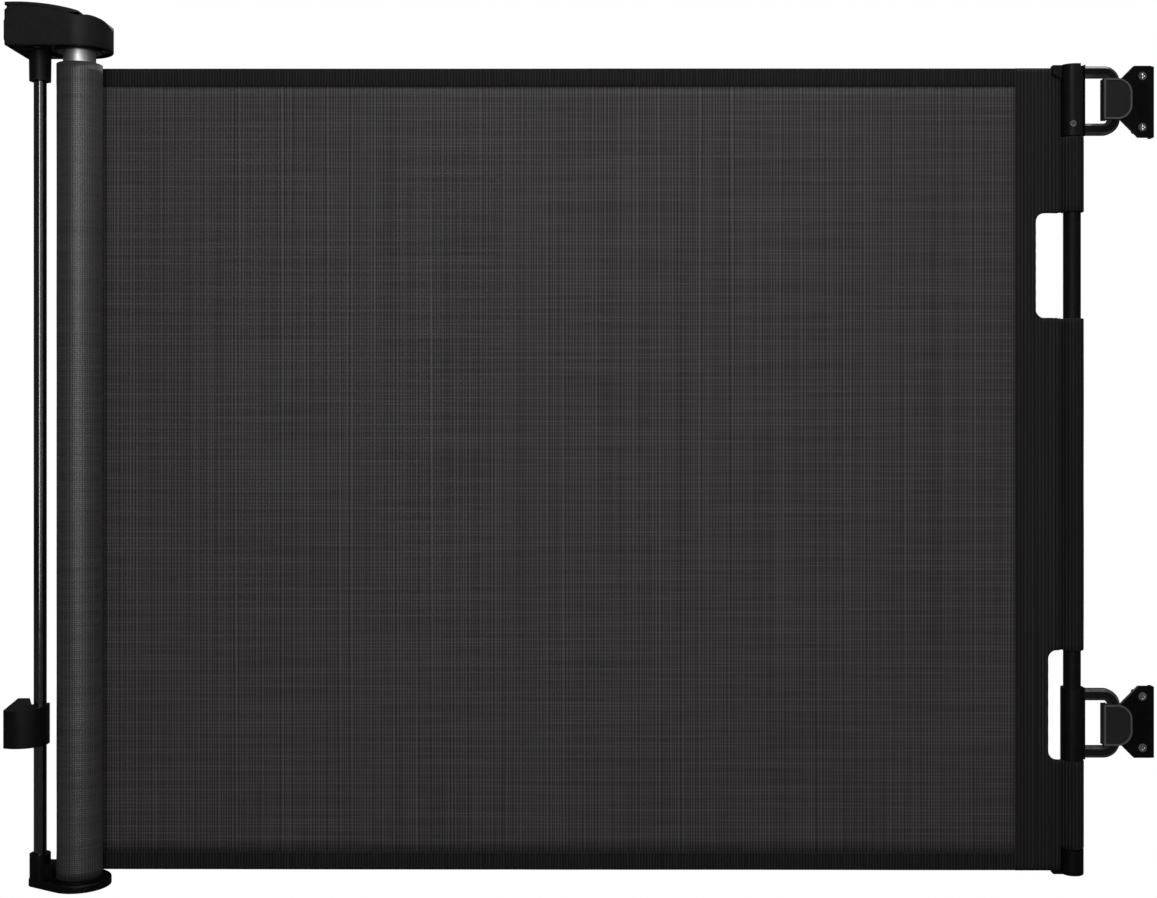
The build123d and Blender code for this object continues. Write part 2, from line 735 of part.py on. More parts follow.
with BuildPart() as roller_top_plug:
    with BuildSketch(Plane.XY.offset(tube_high - plug_length)):
        with Locations((roller_x, 0)):
            Circle(tube_inner)
    extrude(amount=plug_length)
    with BuildSketch(Plane.XY.offset(tube_high)):
        with Locations((roller_x, 0)):
            Circle(stub_radius)
    extrude(amount=stub_top - tube_high)
save(roller_top_plug.part, "roller_top_plug")

brake_drum = ring(roller_x, 0, tube_high, drum_high, drum_radius, stub_radius)
save(brake_drum, "brake_drum")

# ---- mesh panel and its hems, from the roller's back to the band ----
panel_start_y = roll_radius + body_gap + hem_thick / 2
band_left = bar_x - sleeve_radius - band_width


def slanted_sheet(thick, low, high):
    with BuildPart() as made:
        with BuildSketch(Plane.XY.offset(low)):
            with BuildLine():
                near = Line(
                    (roller_x, panel_start_y - thick / 2), (band_left, bar_y - thick / 2)
                )
                end = Line(near @ 1, (band_left, bar_y + thick / 2))
                far = Line(end @ 1, (roller_x, panel_start_y + thick / 2))
                Line(far @ 1, near @ 0)
            make_face()
        extrude(amount=high - low)
    return made.part


mesh_panel = slanted_sheet(mesh_thick, fabric_low + hem_width, fabric_high - hem_width)
save(mesh_panel, "mesh_panel")
top_hem = slanted_sheet(hem_thick, fabric_high - hem_width, fabric_high)
save(top_hem, "top_hem")
bottom_hem = slanted_sheet(hem_thick, fabric_low, fabric_low + hem_width)
save(bottom_hem, "bottom_hem")

# ---- lead band: the doubled edge of the mesh, with the two hand openings ----
band_right = bar_x - clamp_radius - body_gap
cap_height = 14.0
bar_cap_low = fabric_low - 2.9
bar_cap_top = fabric_high + 3.0
bottom_cap_height = 24.3
lug_length = 19.5
lug_height = 13.0
lug_slant = 4.5
lug_half = 4.0
lug_top = upper_z + clamp_height / 2 - 0.4
corner = 9.0

with BuildPart() as lead_band:
    with BuildSketch(Plane.XZ.offset(-(bar_y + band_thick / 2))):
        with Locations(((band_left + band_right) / 2, (fabric_low + fabric_high) / 2)):
            Rectangle(band_right - band_left, fabric_high - fabric_low)
        upper_hand_middle = (upper_hand_low + upper_hand_high) / 2
        with Locations((bar_x - bar_radius, upper_hand_middle)):
            RectangleRounded(
                2 * upper_hand_width,
                upper_hand_high - upper_hand_low,
                corner,
                mode=Mode.SUBTRACT,
            )
        with Locations((bar_x - bar_radius, (lower_hand_low + lower_hand_high) / 2)):
            RectangleRounded(
                2 * lower_hand_width,
                lower_hand_high - lower_hand_low,
                corner,
                mode=Mode.SUBTRACT,
            )
        # the upper corner makes room for the clamp's lug
        with BuildLine():
            room_left = bar_x - lug_length - body_gap
            room_low = lug_top - lug_height - body_gap
            side = Line((room_left, fabric_high + 1), (room_left, room_low + lug_slant))
            slant = Line(side @ 1, (band_right, room_low))
            close = Line(slant @ 1, (band_right, fabric_high + 1))
            Line(close @ 1, side @ 0)
        make_face(mode=Mode.SUBTRACT)
    extrude(amount=band_thick)
save(lead_band.part, "lead_band")

# ---- fabric sleeves that the bar turns in ----
sleeve_bore = bar_radius + body_gap
sleeve_seam = sleeve_radius - 0.4
sleeve_spans = {
    "upper_sleeve": (upper_hand_high, upper_z - clamp_height / 2 - body_gap),
    "middle_sleeve": (lower_hand_high, upper_hand_low),
    "lower_sleeve": (
        bar_cap_low + bottom_cap_height + body_gap,
        lower_z - clamp_height / 2 - body_gap,
    ),
}
for name, (low, high) in sleeve_spans.items():
    with BuildPart() as sleeve:
        with BuildSketch(Plane.XY.offset(low)):
            with Locations((bar_x, bar_y)):
                Circle(sleeve_radius)
                Circle(sleeve_bore, mode=Mode.SUBTRACT)
            with Locations(((band_right + bar_x - sleeve_seam) / 2, bar_y)):
                Rectangle(bar_x - sleeve_seam - band_right, band_thick)
        extrude(amount=high - low)
    save(sleeve.part, name)

# ---- pull bar and its end caps ----
bar_low = fabric_low + 1.0
bar_high = fabric_high
pull_bar = ring(bar_x, bar_y, bar_low, bar_high, bar_radius, bar_radius - bar_wall)
save(pull_bar, "pull_bar")

with BuildPart() as bar_top_cap:
    with BuildSketch(Plane.XY.offset(bar_high)):
        with Locations((bar_x, bar_y)):
            Circle(bar_radius - seat_gap)
    extrude(amount=bar_cap_top - bar_high)
    with BuildSketch(Plane.XY.offset(bar_high)):
        with Locations((bar_x, bar_y)):
            Circle(bar_radius - bar_wall - seat_gap)
    extrude(amount=-12)
save(bar_top_cap.part, "bar_top_cap")

with BuildPart() as bar_bottom_cap:
    with BuildSketch(Plane.XY.offset(bar_cap_low)):
        with Locations((bar_x, bar_y)):
            Circle(clamp_radius)
    extrude(amount=bottom_cap_height)
    with BuildSketch(Plane.XY.offset(bar_low - body_gap)):
        with Locations((bar_x, bar_y)):
            Circle(bar_radius + running_gap)
    extrude(amount=bottom_cap_height, mode=Mode.SUBTRACT)
    with BuildSketch(Plane.XY.offset(bar_cap_low)):
        with Locations((bar_x - lug_length / 2 - bar_radius / 2, bar_y)):
            Rectangle(lug_length - bar_radius, 8)
    extrude(amount=fabric_low - body_gap - bar_cap_low)
    fillet(bar_bottom_cap.edges().group_by(Axis.Z)[0], radius=1.0)
save(bar_bottom_cap.part, "bar_bottom_cap")

# ---- clamps and loops ----
cover_edge = 5.2  # bar's axis to the crisp edge of the clamp's front cover
clamp_bore = bar_radius
clamp_screw_drop = 23.5
clamp_screw_x = -2.0
clamp_seat_depth = 1.6


def clamp_front(middle_z, facing):
    """Front half of a clamp; facing is -1 when its screw is on the front, +1 on the back."""
    low = middle_z - clamp_height / 2
    with BuildPart() as made:
        with BuildSketch(Plane.XY.offset(low)):
            with Locations((bar_x, bar_y)):
                Circle(clamp_radius)
            with Locations((bar_x + cover_edge / 2, bar_y + facing * clamp_radius / 2)):
                Rectangle(cover_edge, clamp_radius)
            with Locations((bar_x + cover_edge - 25, bar_y + facing * 25)):
                Rectangle(50, 50, mode=Mode.INTERSECT)
            with Locations((bar_x, bar_y)):
                Circle(clamp_bore, mode=Mode.SUBTRACT)
        extrude(amount=clamp_height)
        screw_z = middle_z + facing * clamp_screw_drop
        with BuildSketch(Plane.XZ.offset(-bar_y)):
            with Locations((bar_x + clamp_screw_x, screw_z)):
                Circle(1.6)
        extrude(amount=-facing * 20, mode=Mode.SUBTRACT)
        with BuildSketch(Plane.XZ.offset(-(bar_y + facing * (clamp_radius - clamp_seat_depth)))):
            with Locations((bar_x + clamp_screw_x, screw_z)):
                Circle(3.6)
        extrude(amount=-facing * 5, mode=Mode.SUBTRACT)
    return made.part


def clamp_rear(middle_z, facing):
    """The other half of a clamp, with the flange that carries the loop and, on top, a corner lug."""
    low = middle_z - clamp_height / 2
    with BuildPart() as made:
        with BuildSketch(Plane.XY.offset(low)):
            with Locations((bar_x, bar_y)):
                Circle(clamp_radius)
            with Locations((bar_x - 25 + clamp_radius, bar_y - facing * 25)):
                Rectangle(50, 50, mode=Mode.INTERSECT)
            with Locations((bar_x + cover_edge / 2 + clamp_flange / 2, bar_y)):
                Rectangle(clamp_flange - cover_edge, loop_depth)
            with Locations((bar_x, bar_y)):
                Circle(clamp_bore, mode=Mode.SUBTRACT)
        extrude(amount=clamp_height)
        if middle_z == upper_z:
            lug_root = bar_x - clamp_radius + 1
            with BuildSketch(Plane.XZ.offset(-(bar_y + lug_half))):
                with BuildLine():
                    top = Line((bar_x - lug_length, lug_top), (lug_root, lug_top))
                    drop = Line(top @ 1, (lug_root, lug_top - lug_height))
                    slant = Line(drop @ 1, (bar_x - lug_length, lug_top - lug_height + lug_slant))
                    Line(slant @ 1, top @ 0)
                make_face()
            extrude(amount=2 * lug_half)
            with BuildSketch(Plane.XY.offset(lug_top - lug_height)):
                with Locations((bar_x, bar_y)):
                    Circle(clamp_bore)
            extrude(amount=lug_height + 1, mode=Mode.SUBTRACT)
            with BuildSketch(Plane.XY.offset(low)):
                with Locations((bar_x, bar_y - 25)):
                    Rectangle(2 * clamp_radius, 50)
            extrude(amount=clamp_height, mode=Mode.SUBTRACT)
    return made.part


def loop(middle_z):
    """A D-shaped ring of bevelled bar, grown from the clamp's flange."""
    arm = (loop_height - loop_width) / 2
    start_x = bar_x + clamp_flange
    reach_x = bar_x + loop_reach - loop_width / 2
    with BuildPart() as made:
        with BuildLine(Plane.XZ.offset(-bar_y)) as path:
            FilletPolyline(
                (start_x, middle_z + arm),
                (reach_x, middle_z + arm),
                (reach_x, middle_z - arm),
                (start_x, middle_z - arm),
                radius=loop_corner,
            )
        start = Plane((start_x, bar_y, middle_z + arm), x_dir=(0, 1, 0), z_dir=(1, 0, 0))
        with BuildSketch(start) as section:
            Rectangle(loop_depth, loop_width)
            chamfer(section.vertices(), length=loop_bevel)
        sweep(path=path.line)
    return made.part


clamp_names = {"upper": (upper_z, -1), "lower": (lower_z, 1)}
for level, (middle_z, facing) in clamp_names.items():
    save(clamp_front(middle_z, facing), f"{level}_clamp_cover")
    save(clamp_rear(middle_z, facing), f"{level}_clamp_body")
    save(loop(middle_z), f"{level}_loop")

with BuildPart() as clamp_screws:
    shank_length = clamp_radius - clamp_seat_depth - bar_radius - seat_gap
    for middle_z, facing in clamp_names.values():
        screw_z = middle_z + facing * clamp_screw_drop
        seat_y = bar_y + facing * (clamp_radius - clamp_seat_depth)
        with BuildSketch(Plane.XZ.offset(-seat_y)):
            with Locations((bar_x + clamp_screw_x, screw_z)):
                Circle(3.2)
                Rectangle(3.8, 0.9, mode=Mode.SUBTRACT)
        extrude(amount=-facing * 1.3)
        with BuildSketch(Plane.XZ.offset(-seat_y)):
            with Locations((bar_x + clamp_screw_x, screw_z)):
                Circle(1.5)
        extrude(amount=facing * shank_length)
save(clamp_screws.part, "clamp_screws")

# ---- catches on the right: a screwed plate with a hook that closes over the loop ----
flap_front_y = bar_y - loop_depth / 2 - body_gap - hook_thick
plate_front_y = bar_y + loop_depth / 2 + 0.9
plate_back_y = plate_front_y + plate_thick
tip_back_y = bar_y + 2.5
root_x = loop_reach + 1.2
screw_head = 1.8
screw_length = 22.0  # how far the catch screws stand out behind the plate


def flap_plan(left, middle_z, inset):
    """The hook's D-shaped front, straight on the left and round on the right."""
    with BuildSketch(Plane.XZ) as plan:
        width = hook_width - 2 * inset
        height = hook_height - 2 * inset
        with Locations((left + hook_width / 2, middle_z)):
            Rectangle(width, height)
        right_corners = plan.vertices().sort_by(Axis.X)[2:]
        fillet(right_corners, radius=hook_corner - inset)
    return plan.sketch


def catch(middle_z, facing):
    left = bar_x + plate_left
    right = bar_x + plate_right
    half = plate_height / 2
    if facing > 0:
        upper_taper = plate_inner_taper
        lower_taper = plate_outer_taper
    else:
        upper_taper = plate_outer_taper
        lower_taper = plate_inner_taper
    flap_left = bar_x + hook_reach
    flap_right = flap_left + hook_width
    root_left = bar_x + root_x
    root_width = flap_right - 1.5 - root_left
    with BuildPart() as made:
        with BuildSketch(Plane.XZ.offset(-plate_back_y)):
            with BuildLine():
                low = middle_z - half
                high = middle_z + half
                edge = Line((left, low + lower_taper), (left, high - upper_taper))
                rise = Line(edge @ 1, (left + upper_taper, high))
                top = Line(rise @ 1, (right, high))
                side = Line(top @ 1, (right, low))
                bottom = Line(side @ 1, (left + lower_taper, low))
                Line(bottom @ 1, edge @ 0)
            make_face()
        extrude(amount=plate_thick)
        # lip along the far edge, cut back at its top
        with BuildSketch(Plane.XZ.offset(-(plate_back_y + plate_lip))):
            with Locations((right + plate_lip_thick / 2, middle_z - plate_lip_relief / 2)):
                Rectangle(plate_lip_thick, plate_height - plate_lip_relief)
        extrude(amount=plate_lip + plate_thick - 0.6)
        # the hook: a D-shaped flap with a raised rim, its tip turned back, and its root
        flap = flap_plan(flap_left, middle_z, 0.0).moved(Location((0, flap_front_y + hook_thick, 0)))
        extrude(flap, amount=hook_thick, dir=(0, -1, 0))
        panel = flap_plan(flap_left, middle_z, hook_rim).moved(Location((0, flap_front_y, 0)))
        extrude(panel, amount=1.0, dir=(0, 1, 0), mode=Mode.SUBTRACT)
        with BuildSketch(Plane.XZ.offset(-tip_back_y)):
            with Locations((flap_left + hook_tip / 2, middle_z)):
                Rectangle(hook_tip, hook_height)
        extrude(amount=tip_back_y - flap_front_y - 1.0)
        with BuildSketch(Plane.XZ.offset(-plate_front_y)):
            with Locations((root_left + root_width / 2, middle_z)):
                Rectangle(root_width, hook_height - 2 * hook_corner + 4)
        extrude(amount=plate_front_y - flap_front_y - 2)
        with BuildSketch(Plane.XZ.offset(-plate_back_y)):
            with Locations((bar_x + plate_screw_x, middle_z)):
                with GridLocations(0, plate_screw_spacing, 1, 2):
                    Circle(screw_radius + seat_gap)
        extrude(amount=plate_thick, mode=Mode.SUBTRACT)
        with BuildSketch(Plane.XZ.offset(-(plate_front_y + screw_head))):
            with Locations((bar_x + plate_screw_x, middle_z)):
                with GridLocations(0, plate_screw_spacing, 1, 2):
                    Circle(4.2)
        extrude(amount=screw_head, mode=Mode.SUBTRACT)
    return made.part


save(catch(upper_catch_z, -1), "upper_catch")
save(catch(lower_catch_z, 1), "lower_catch")

with BuildPart() as catch_screws:
    screw_places = [
        (bar_x + plate_screw_x, middle_z + side * plate_screw_spacing / 2)
        for middle_z in (upper_catch_z, lower_catch_z)
        for side in (-1, 1)
    ]
    with BuildSketch(Plane.XZ.offset(-(plate_front_y + screw_head))):
        with Locations(*screw_places):
            Circle(4.0)
    extrude(amount=screw_head)
    with BuildSketch(Plane.XZ.offset(-(plate_back_y + screw_length))):
        with Locations(*screw_places):
            Circle(screw_radius)
    extrude(amount=screw_length + plate_thick - screw_head)
    with BuildSketch(Plane.XZ.offset(-(plate_front_y + 1.2))):
        with Locations(*screw_places):
            Rectangle(4.6, 1.1)
            Rectangle(1.1, 4.6)
    extrude(amount=1.2, mode=Mode.SUBTRACT)
save(catch_screws.part, "catch_screws")
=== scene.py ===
import math
import random

import bmesh
import bpy
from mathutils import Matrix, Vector, noise


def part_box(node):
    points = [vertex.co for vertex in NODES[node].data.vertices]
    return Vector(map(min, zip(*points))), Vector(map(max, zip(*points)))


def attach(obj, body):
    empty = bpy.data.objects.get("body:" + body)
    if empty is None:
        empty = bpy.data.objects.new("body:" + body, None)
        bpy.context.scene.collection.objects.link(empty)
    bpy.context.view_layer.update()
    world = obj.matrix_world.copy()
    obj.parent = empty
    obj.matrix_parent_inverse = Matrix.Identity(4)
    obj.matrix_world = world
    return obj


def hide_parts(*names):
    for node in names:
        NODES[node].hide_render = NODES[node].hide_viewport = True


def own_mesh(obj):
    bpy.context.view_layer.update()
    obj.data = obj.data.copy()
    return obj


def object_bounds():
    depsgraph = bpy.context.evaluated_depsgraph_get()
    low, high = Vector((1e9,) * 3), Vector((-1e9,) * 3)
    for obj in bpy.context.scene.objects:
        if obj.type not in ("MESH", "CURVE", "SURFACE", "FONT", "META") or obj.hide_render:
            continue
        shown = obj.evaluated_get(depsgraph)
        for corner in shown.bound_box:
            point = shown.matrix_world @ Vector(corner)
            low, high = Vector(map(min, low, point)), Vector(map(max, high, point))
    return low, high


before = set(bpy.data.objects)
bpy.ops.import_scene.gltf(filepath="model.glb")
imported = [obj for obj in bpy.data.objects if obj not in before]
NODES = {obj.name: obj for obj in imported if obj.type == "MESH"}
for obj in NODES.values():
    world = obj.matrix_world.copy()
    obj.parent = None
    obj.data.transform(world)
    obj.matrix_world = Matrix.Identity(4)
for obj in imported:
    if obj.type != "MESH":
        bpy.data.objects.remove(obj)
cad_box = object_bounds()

random.seed(7)


# ---------------------------------------------------------------- materials
class Graph:
    """Short way to write a node tree."""

    def __init__(self, name, color, rough, spec=0.5, metal=0.0, coat=0.0, sheen=0.0):
        self.mat = bpy.data.materials.new(name)
        self.mat.use_nodes = True
        self.tree = self.mat.node_tree
        self.shader = self.tree.nodes["Principled BSDF"]
        self.shader.inputs["Base Color"].default_value = (*color, 1)
        self.shader.inputs["Roughness"].default_value = rough
        self.shader.inputs["Specular IOR Level"].default_value = spec
        self.shader.inputs["Metallic"].default_value = metal
        self.shader.inputs["Coat Weight"].default_value = coat
        self.shader.inputs["Sheen Weight"].default_value = sheen
        self.shader.inputs["Sheen Roughness"].default_value = 0.5
        self.coords = self.node("ShaderNodeTexCoord")

    def node(self, kind, **values):
        made = self.tree.nodes.new(kind)
        for key, value in values.items():
            setattr(made, key, value)
        return made

    def link(self, a, b):
        self.tree.links.new(a, b)

    def scaled(self, scale, uv=False):
        """Object (or UV) coordinates in metres, times scale."""
        mapping = self.node("ShaderNodeMapping")
        mapping.inputs["Scale"].default_value = scale
        self.link(self.coords.outputs["UV" if uv else "Object"], mapping.inputs["Vector"])
        return mapping.outputs["Vector"]

    def noise(self, scale, detail=3.0, rough=0.55, vector=None):
        made = self.node("ShaderNodeTexNoise")
        made.inputs["Scale"].default_value = 1.0
        made.inputs["Detail"].default_value = detail
        made.inputs["Roughness"].default_value = rough
        if vector is None:
            vector = self.scaled((scale, scale, scale))
        self.link(vector, made.inputs["Vector"])
        return made.outputs["Fac"]

    def wave(self, vector, direction, profile="SIN", distort=0.0):
        """One line per unit of the vector along an axis."""
        made = self.node("ShaderNodeTexWave", wave_type="BANDS", bands_direction=direction)
        made.wave_profile = profile
        made.inputs["Scale"].default_value = 2 * math.pi / 20.0
        made.inputs["Distortion"].default_value = distort
        made.inputs["Detail"].default_value = 1.0
        self.link(vector, made.inputs["Vector"])
        return made.outputs["Fac"]

    def ramp(self, fac, low, high, start=0.0, end=1.0):
        made = self.node("ShaderNodeMapRange")
        made.inputs["From Min"].default_value = start
        made.inputs["From Max"].default_value = end
        made.inputs["To Min"].default_value = low
        made.inputs["To Max"].default_value = high
        self.link(fac, made.inputs["Value"])
        return made.outputs["Result"]

    def math(self, op, a, b):
        made = self.node("ShaderNodeMath", operation=op)
        for socket, value in zip(made.inputs, (a, b)):
            if isinstance(value, (int, float)):
                socket.default_value = value
            else:
                self.link(value, socket)
        return made.outputs["Value"]

    def mix(self, fac, dark, light):
        made = self.node("ShaderNodeMix", data_type="RGBA")
        self.link(fac, made.inputs["Factor"])
        for socket, value in ((made.inputs["A"], dark), (made.inputs["B"], light)):
            if isinstance(value, tuple):
                socket.default_value = (*value, 1)
            else:
                self.link(value, socket)
        return made.outputs["Result"]

    def bump(self, height, distance, strength=1.0, before=None):
        made = self.node("ShaderNodeBump")
        made.inputs["Strength"].default_value = strength
        made.inputs["Distance"].default_value = distance
        self.link(height, made.inputs["Height"])
        if before is not None:
            self.link(before, made.inputs["Normal"])
        self.link(made.outputs["Normal"], self.shader.inputs["Normal"])
        return made.outputs["Normal"]

    def slant(self):
        """1 where a surface leans between the object's axes (bevels, rounded edges), else 0."""
        parts = self.node("ShaderNodeSeparateXYZ")
        self.link(self.coords.outputs["Normal"], parts.inputs["Vector"])
        x, y, z = (self.math("ABSOLUTE", parts.outputs[axis], 0.0) for axis in "XYZ")
        return self.ramp(self.math("MAXIMUM", self.math("MAXIMUM", x, y), z), 1.0, 0.0, 0.80, 0.97)

    def in_front_of(self, depth):
        """1 on the surfaces whose object Y is less than the depth, else 0."""
        parts = self.node("ShaderNodeSeparateXYZ")
        self.link(self.coords.outputs["Object"], parts.inputs["Vector"])
        return self.math("LESS_THAN", parts.outputs["Y"], depth)

    def set(self, name, socket):
        self.link(socket, self.shader.inputs[name])


PAINTED_PANEL_DEPTH = 0.0036  # how far behind its front the hook's panel gets the painted reflection
PAINTED_BORDER_DEPTH = 0.0002  # the raised border's front face only, which gets the painted highlight


def plastic(name, color, rough, grain=0.00003, grain_scale=2600.0, coat=0.0, spec=0.5,
            edge_highlight=0.0, flap=None):
    """Moulded plastic: fine spark grain, faint mottling, sharp edges worn paler.

    An edge highlight level paints a highlight on the leaning faces (bevels, chamfers); a flap (the Y of
    a hook's front) paints a highlight on its border and a reflection on its panel.
    """
    g = Graph(name, color, rough, spec=spec, coat=coat)
    mottle = g.noise(70.0, 4.0)
    dark = tuple(c * 0.82 for c in color)
    light = tuple(min(1.0, c * 1.22 + 0.001) for c in color)
    base = g.mix(g.ramp(mottle, 0.0, 1.0, 0.35, 0.65), dark, light)
    edge = g.node("ShaderNodeNewGeometry").outputs["Pointiness"]
    worn = g.math("MULTIPLY", g.ramp(edge, 0.0, 0.35, 0.53, 0.62), g.noise(240.0, 2.0))
    paint = g.mix(worn, base, tuple(c * 2.2 + 0.012 for c in color))
    if flap is not None:
        # painted reflection: the hook's front panel is made paler than the plate, standing in for the
        # light it reflects
        paint = g.mix(g.in_front_of(flap + PAINTED_PANEL_DEPTH), paint, (0.0260, 0.0254, 0.0258))
        # painted highlight along the front face of the hook's raised border
        paint = g.mix(g.in_front_of(flap + PAINTED_BORDER_DEPTH), paint, (edge_highlight * 0.9, edge_highlight * 0.88, edge_highlight * 0.9))
    # painted highlight: leaning faces (bevels, chamfers) are made paler, in patches of random strength,
    # standing in for glints
    if edge_highlight:
        painted_bevel_highlight = g.math("MULTIPLY", g.slant(), g.ramp(g.noise(90.0, 3.0), 0.35, 1.0, 0.35, 0.65))
        paint = g.mix(painted_bevel_highlight, paint, (edge_highlight, edge_highlight * 0.98, edge_highlight))
    g.set("Base Color", paint)
    smear = g.noise(26.0, 5.0, 0.6)
    g.set("Roughness", g.ramp(smear, rough - 0.05, rough + 0.07, 0.3, 0.7))
    first = g.bump(g.noise(grain_scale, 2.0), grain)
    g.bump(g.noise(160.0, 2.0), grain * 1.6, 0.6, before=first)
    return g.mat


def enamel(name, color, rough, coat=0.5, peel=0.00002, spec=0.5):
    """Powder coat or enamel on metal: slight orange peel under a clear skin."""
    g = Graph(name, color, rough, spec=spec, coat=coat)
    g.shader.inputs["Coat Roughness"].default_value = 0.12
    g.shader.inputs["Coat IOR"].default_value = 1.8
    cloud = g.noise(40.0, 3.0)
    g.set("Base Color", g.mix(cloud, tuple(c * 0.8 for c in color), tuple(c * 1.25 for c in color)))
    g.set("Roughness", g.ramp(g.noise(120.0, 3.0), rough - 0.04, rough + 0.06, 0.3, 0.7))
    g.bump(g.noise(700.0, 2.0), peel, 0.5)
    return g.mat


def metal(name, color, rough, stretch, line=3000.0):
    """Drawn, turned or plated metal, its fine lines running along the stretch axes."""
    g = Graph(name, color, rough, metal=1.0)
    scale = tuple(line * s for s in stretch)
    fine = g.noise(1.0, 3.0, 0.6, vector=g.scaled(scale))
    cloud = g.noise(90.0, 3.0)
    shade = g.math("MULTIPLY", g.ramp(fine, 0.75, 1.0, 0.25, 0.75), g.ramp(cloud, 0.85, 1.0))
    g.set("Base Color", g.mix(shade, tuple(c * 0.6 for c in color), color))
    g.set("Roughness", g.ramp(fine, rough - 0.06, rough + 0.1, 0.3, 0.7))
    g.bump(fine, 0.00002, 0.6)
    return g.mat


MESH_PITCH = 0.00280
MESH_ROW = 0.00325


def mesh_cloth(name, base, thread, pitch=MESH_PITCH, row=MESH_ROW, cross_share=0.5,
               shine=0.3, smooth=0.5):
    """Open coated mesh: pale upright threads, fainter cross threads, dark holes between."""
    g = Graph(name, base, 0.6, spec=shine, sheen=0.03)
    # each thread is a little paler or darker than the next, and strays a little
    stray = g.noise(1.0, 1.0, 0.5, vector=g.scaled((90.0, 0.6, 1.0), uv=True))
    flat = g.scaled((1.0 / pitch, 1.0 / row, 1.0), uv=True)
    moved = g.node("ShaderNodeVectorMath", operation="ADD")
    g.link(flat, moved.inputs[0])
    shift = g.node("ShaderNodeCombineXYZ")
    g.link(g.ramp(stray, -0.5, 0.5, 0.3, 0.7), shift.inputs["X"])
    g.link(shift.outputs["Vector"], moved.inputs[1])
    upright = g.wave(moved.outputs["Vector"], "X")
    cross = g.wave(flat, "Y")
    tone = g.noise(1.0, 2.0, 0.6, vector=g.scaled((330.0, 1.6, 1.0), uv=True))
    row_tone = g.noise(1.0, 2.0, 0.6, vector=g.scaled((6.0, 260.0, 1.0), uv=True))
    fleck = g.noise(1.0, 3.0, 0.6, vector=g.scaled((900.0, 700.0, 1.0), uv=True))
    up_part = g.math("MULTIPLY", upright, g.ramp(tone, 0.45, 1.15, 0.32, 0.68))
    cross_part = g.math("MULTIPLY", cross, g.ramp(row_tone, 0.0, cross_share, 0.35, 0.65))
    threads = g.math("ADD", up_part, cross_part)
    shade = g.math("MULTIPLY", threads, g.ramp(fleck, 0.8, 1.15, 0.3, 0.7))
    g.set("Base Color", g.mix(shade, base, thread))
    g.set("Roughness", g.ramp(threads, smooth + 0.2, smooth))
    g.bump(threads, 0.0002, 0.6)
    return g.mat


def webbing(name, color, pale, pitch, row=0.0012, depth=0.0002, bands=0.5):
    """Ribbed webbing: upright ribs crossed by fine picks."""
    g = Graph(name, color, 0.68, spec=0.18, sheen=0.02)
    flat = g.scaled((1.0 / pitch, 1.0 / row, 1.0), uv=True)
    ribs = g.wave(flat, "X", distort=0.15)
    picks = g.wave(flat, "Y", distort=0.3)
    wide = g.noise(1.0, 2.0, 0.5, vector=g.scaled((220.0, 2.0, 1.0), uv=True))
    fuzz = g.noise(1.0, 4.0, 0.65, vector=g.scaled((1500.0, 1500.0, 1.0), uv=True))
    weave = g.math("MULTIPLY", ribs, g.ramp(picks, 0.65, 1.0))
    tone = g.math("MULTIPLY", weave, g.ramp(wide, 1.0 - bands, 1.0 + bands, 0.3, 0.7))
    tone = g.math("MULTIPLY", tone, g.ramp(fuzz, 0.7, 1.2, 0.3, 0.7))
    g.set("Base Color", g.mix(tone, color, pale))
    g.set("Roughness", g.ramp(fuzz, 0.6, 0.8))
    g.bump(g.math("ADD", weave, g.math("MULTIPLY", fuzz, 0.25)), depth, 0.9)
    return g.mat


def rubber(name, color):
    g = Graph(name, color, 0.8, spec=0.3)
    g.set("Base Color", g.mix(g.noise(300.0), color, tuple(c * 1.8 for c in color)))
    g.set("Roughness", g.ramp(g.noise(500.0), 0.7, 0.9))
    g.bump(g.noise(1800.0), 0.00005)
    return g.mat


HEAD = plastic("head_moulded", (0.0080, 0.0070, 0.0073), 0.44, spec=0.20)
LEVER = plastic("lever_moulded", (0.0075, 0.0069, 0.0071), 0.40, spec=0.26)
BRACKET = plastic("bracket_moulded", (0.0030, 0.0029, 0.0031), 0.40, spec=0.17)
BASE = plastic("base_moulded", (0.0026, 0.0025, 0.0027), 0.36, spec=0.17)
CLAMP = plastic("clamp_moulded", (0.0016, 0.0015, 0.0017), 0.40, spec=0.17)
# loops and catches get a painted highlight on their leaning faces; the catches also a painted highlight
# on the hook's border and a painted reflection on its panel
LOOP = plastic("loop_moulded", (0.0026, 0.0025, 0.0027), 0.18, grain=0.000008, spec=0.6, edge_highlight=0.11)
FLAP_FRONT = min(v.co.y for v in NODES["upper_catch"].data.vertices)
CATCH = plastic("catch_moulded", (0.0011, 0.0010, 0.0012), 0.26, grain=0.000012, spec=0.20,
                edge_highlight=0.13, flap=FLAP_FRONT)
INNER = plastic("inner_moulded", (0.05, 0.05, 0.055), 0.5)
COLLAR = plastic("collar_moulded", (0.004, 0.004, 0.004), 0.16, grain=0.000008, spec=0.6)
ROD = enamel("rod_enamel", (0.0020, 0.0020, 0.0022), 0.14, coat=1.0, peel=0.000004, spec=0.8)
BAR = enamel("bar_enamel", (0.0036, 0.0035, 0.0037), 0.50, coat=0.0, peel=0.000015, spec=0.17)
TUBE = metal("drawn_aluminium", (1.0, 1.0, 1.0), 0.44, (0.05, 0.05, 1.0))
STEEL = metal("plated_steel", (0.60, 0.61, 0.63), 0.32, (1.0, 1.0, 0.2))
SPRING = metal("spring_wire", (0.30, 0.30, 0.32), 0.35, (0.3, 0.3, 1.0))
SCREW = metal("black_zinc", (0.60, 0.60, 0.61), 0.17, (1.0, 0.2, 1.0))
PAD = rubber("pad_rubber", (0.02, 0.02, 0.02))
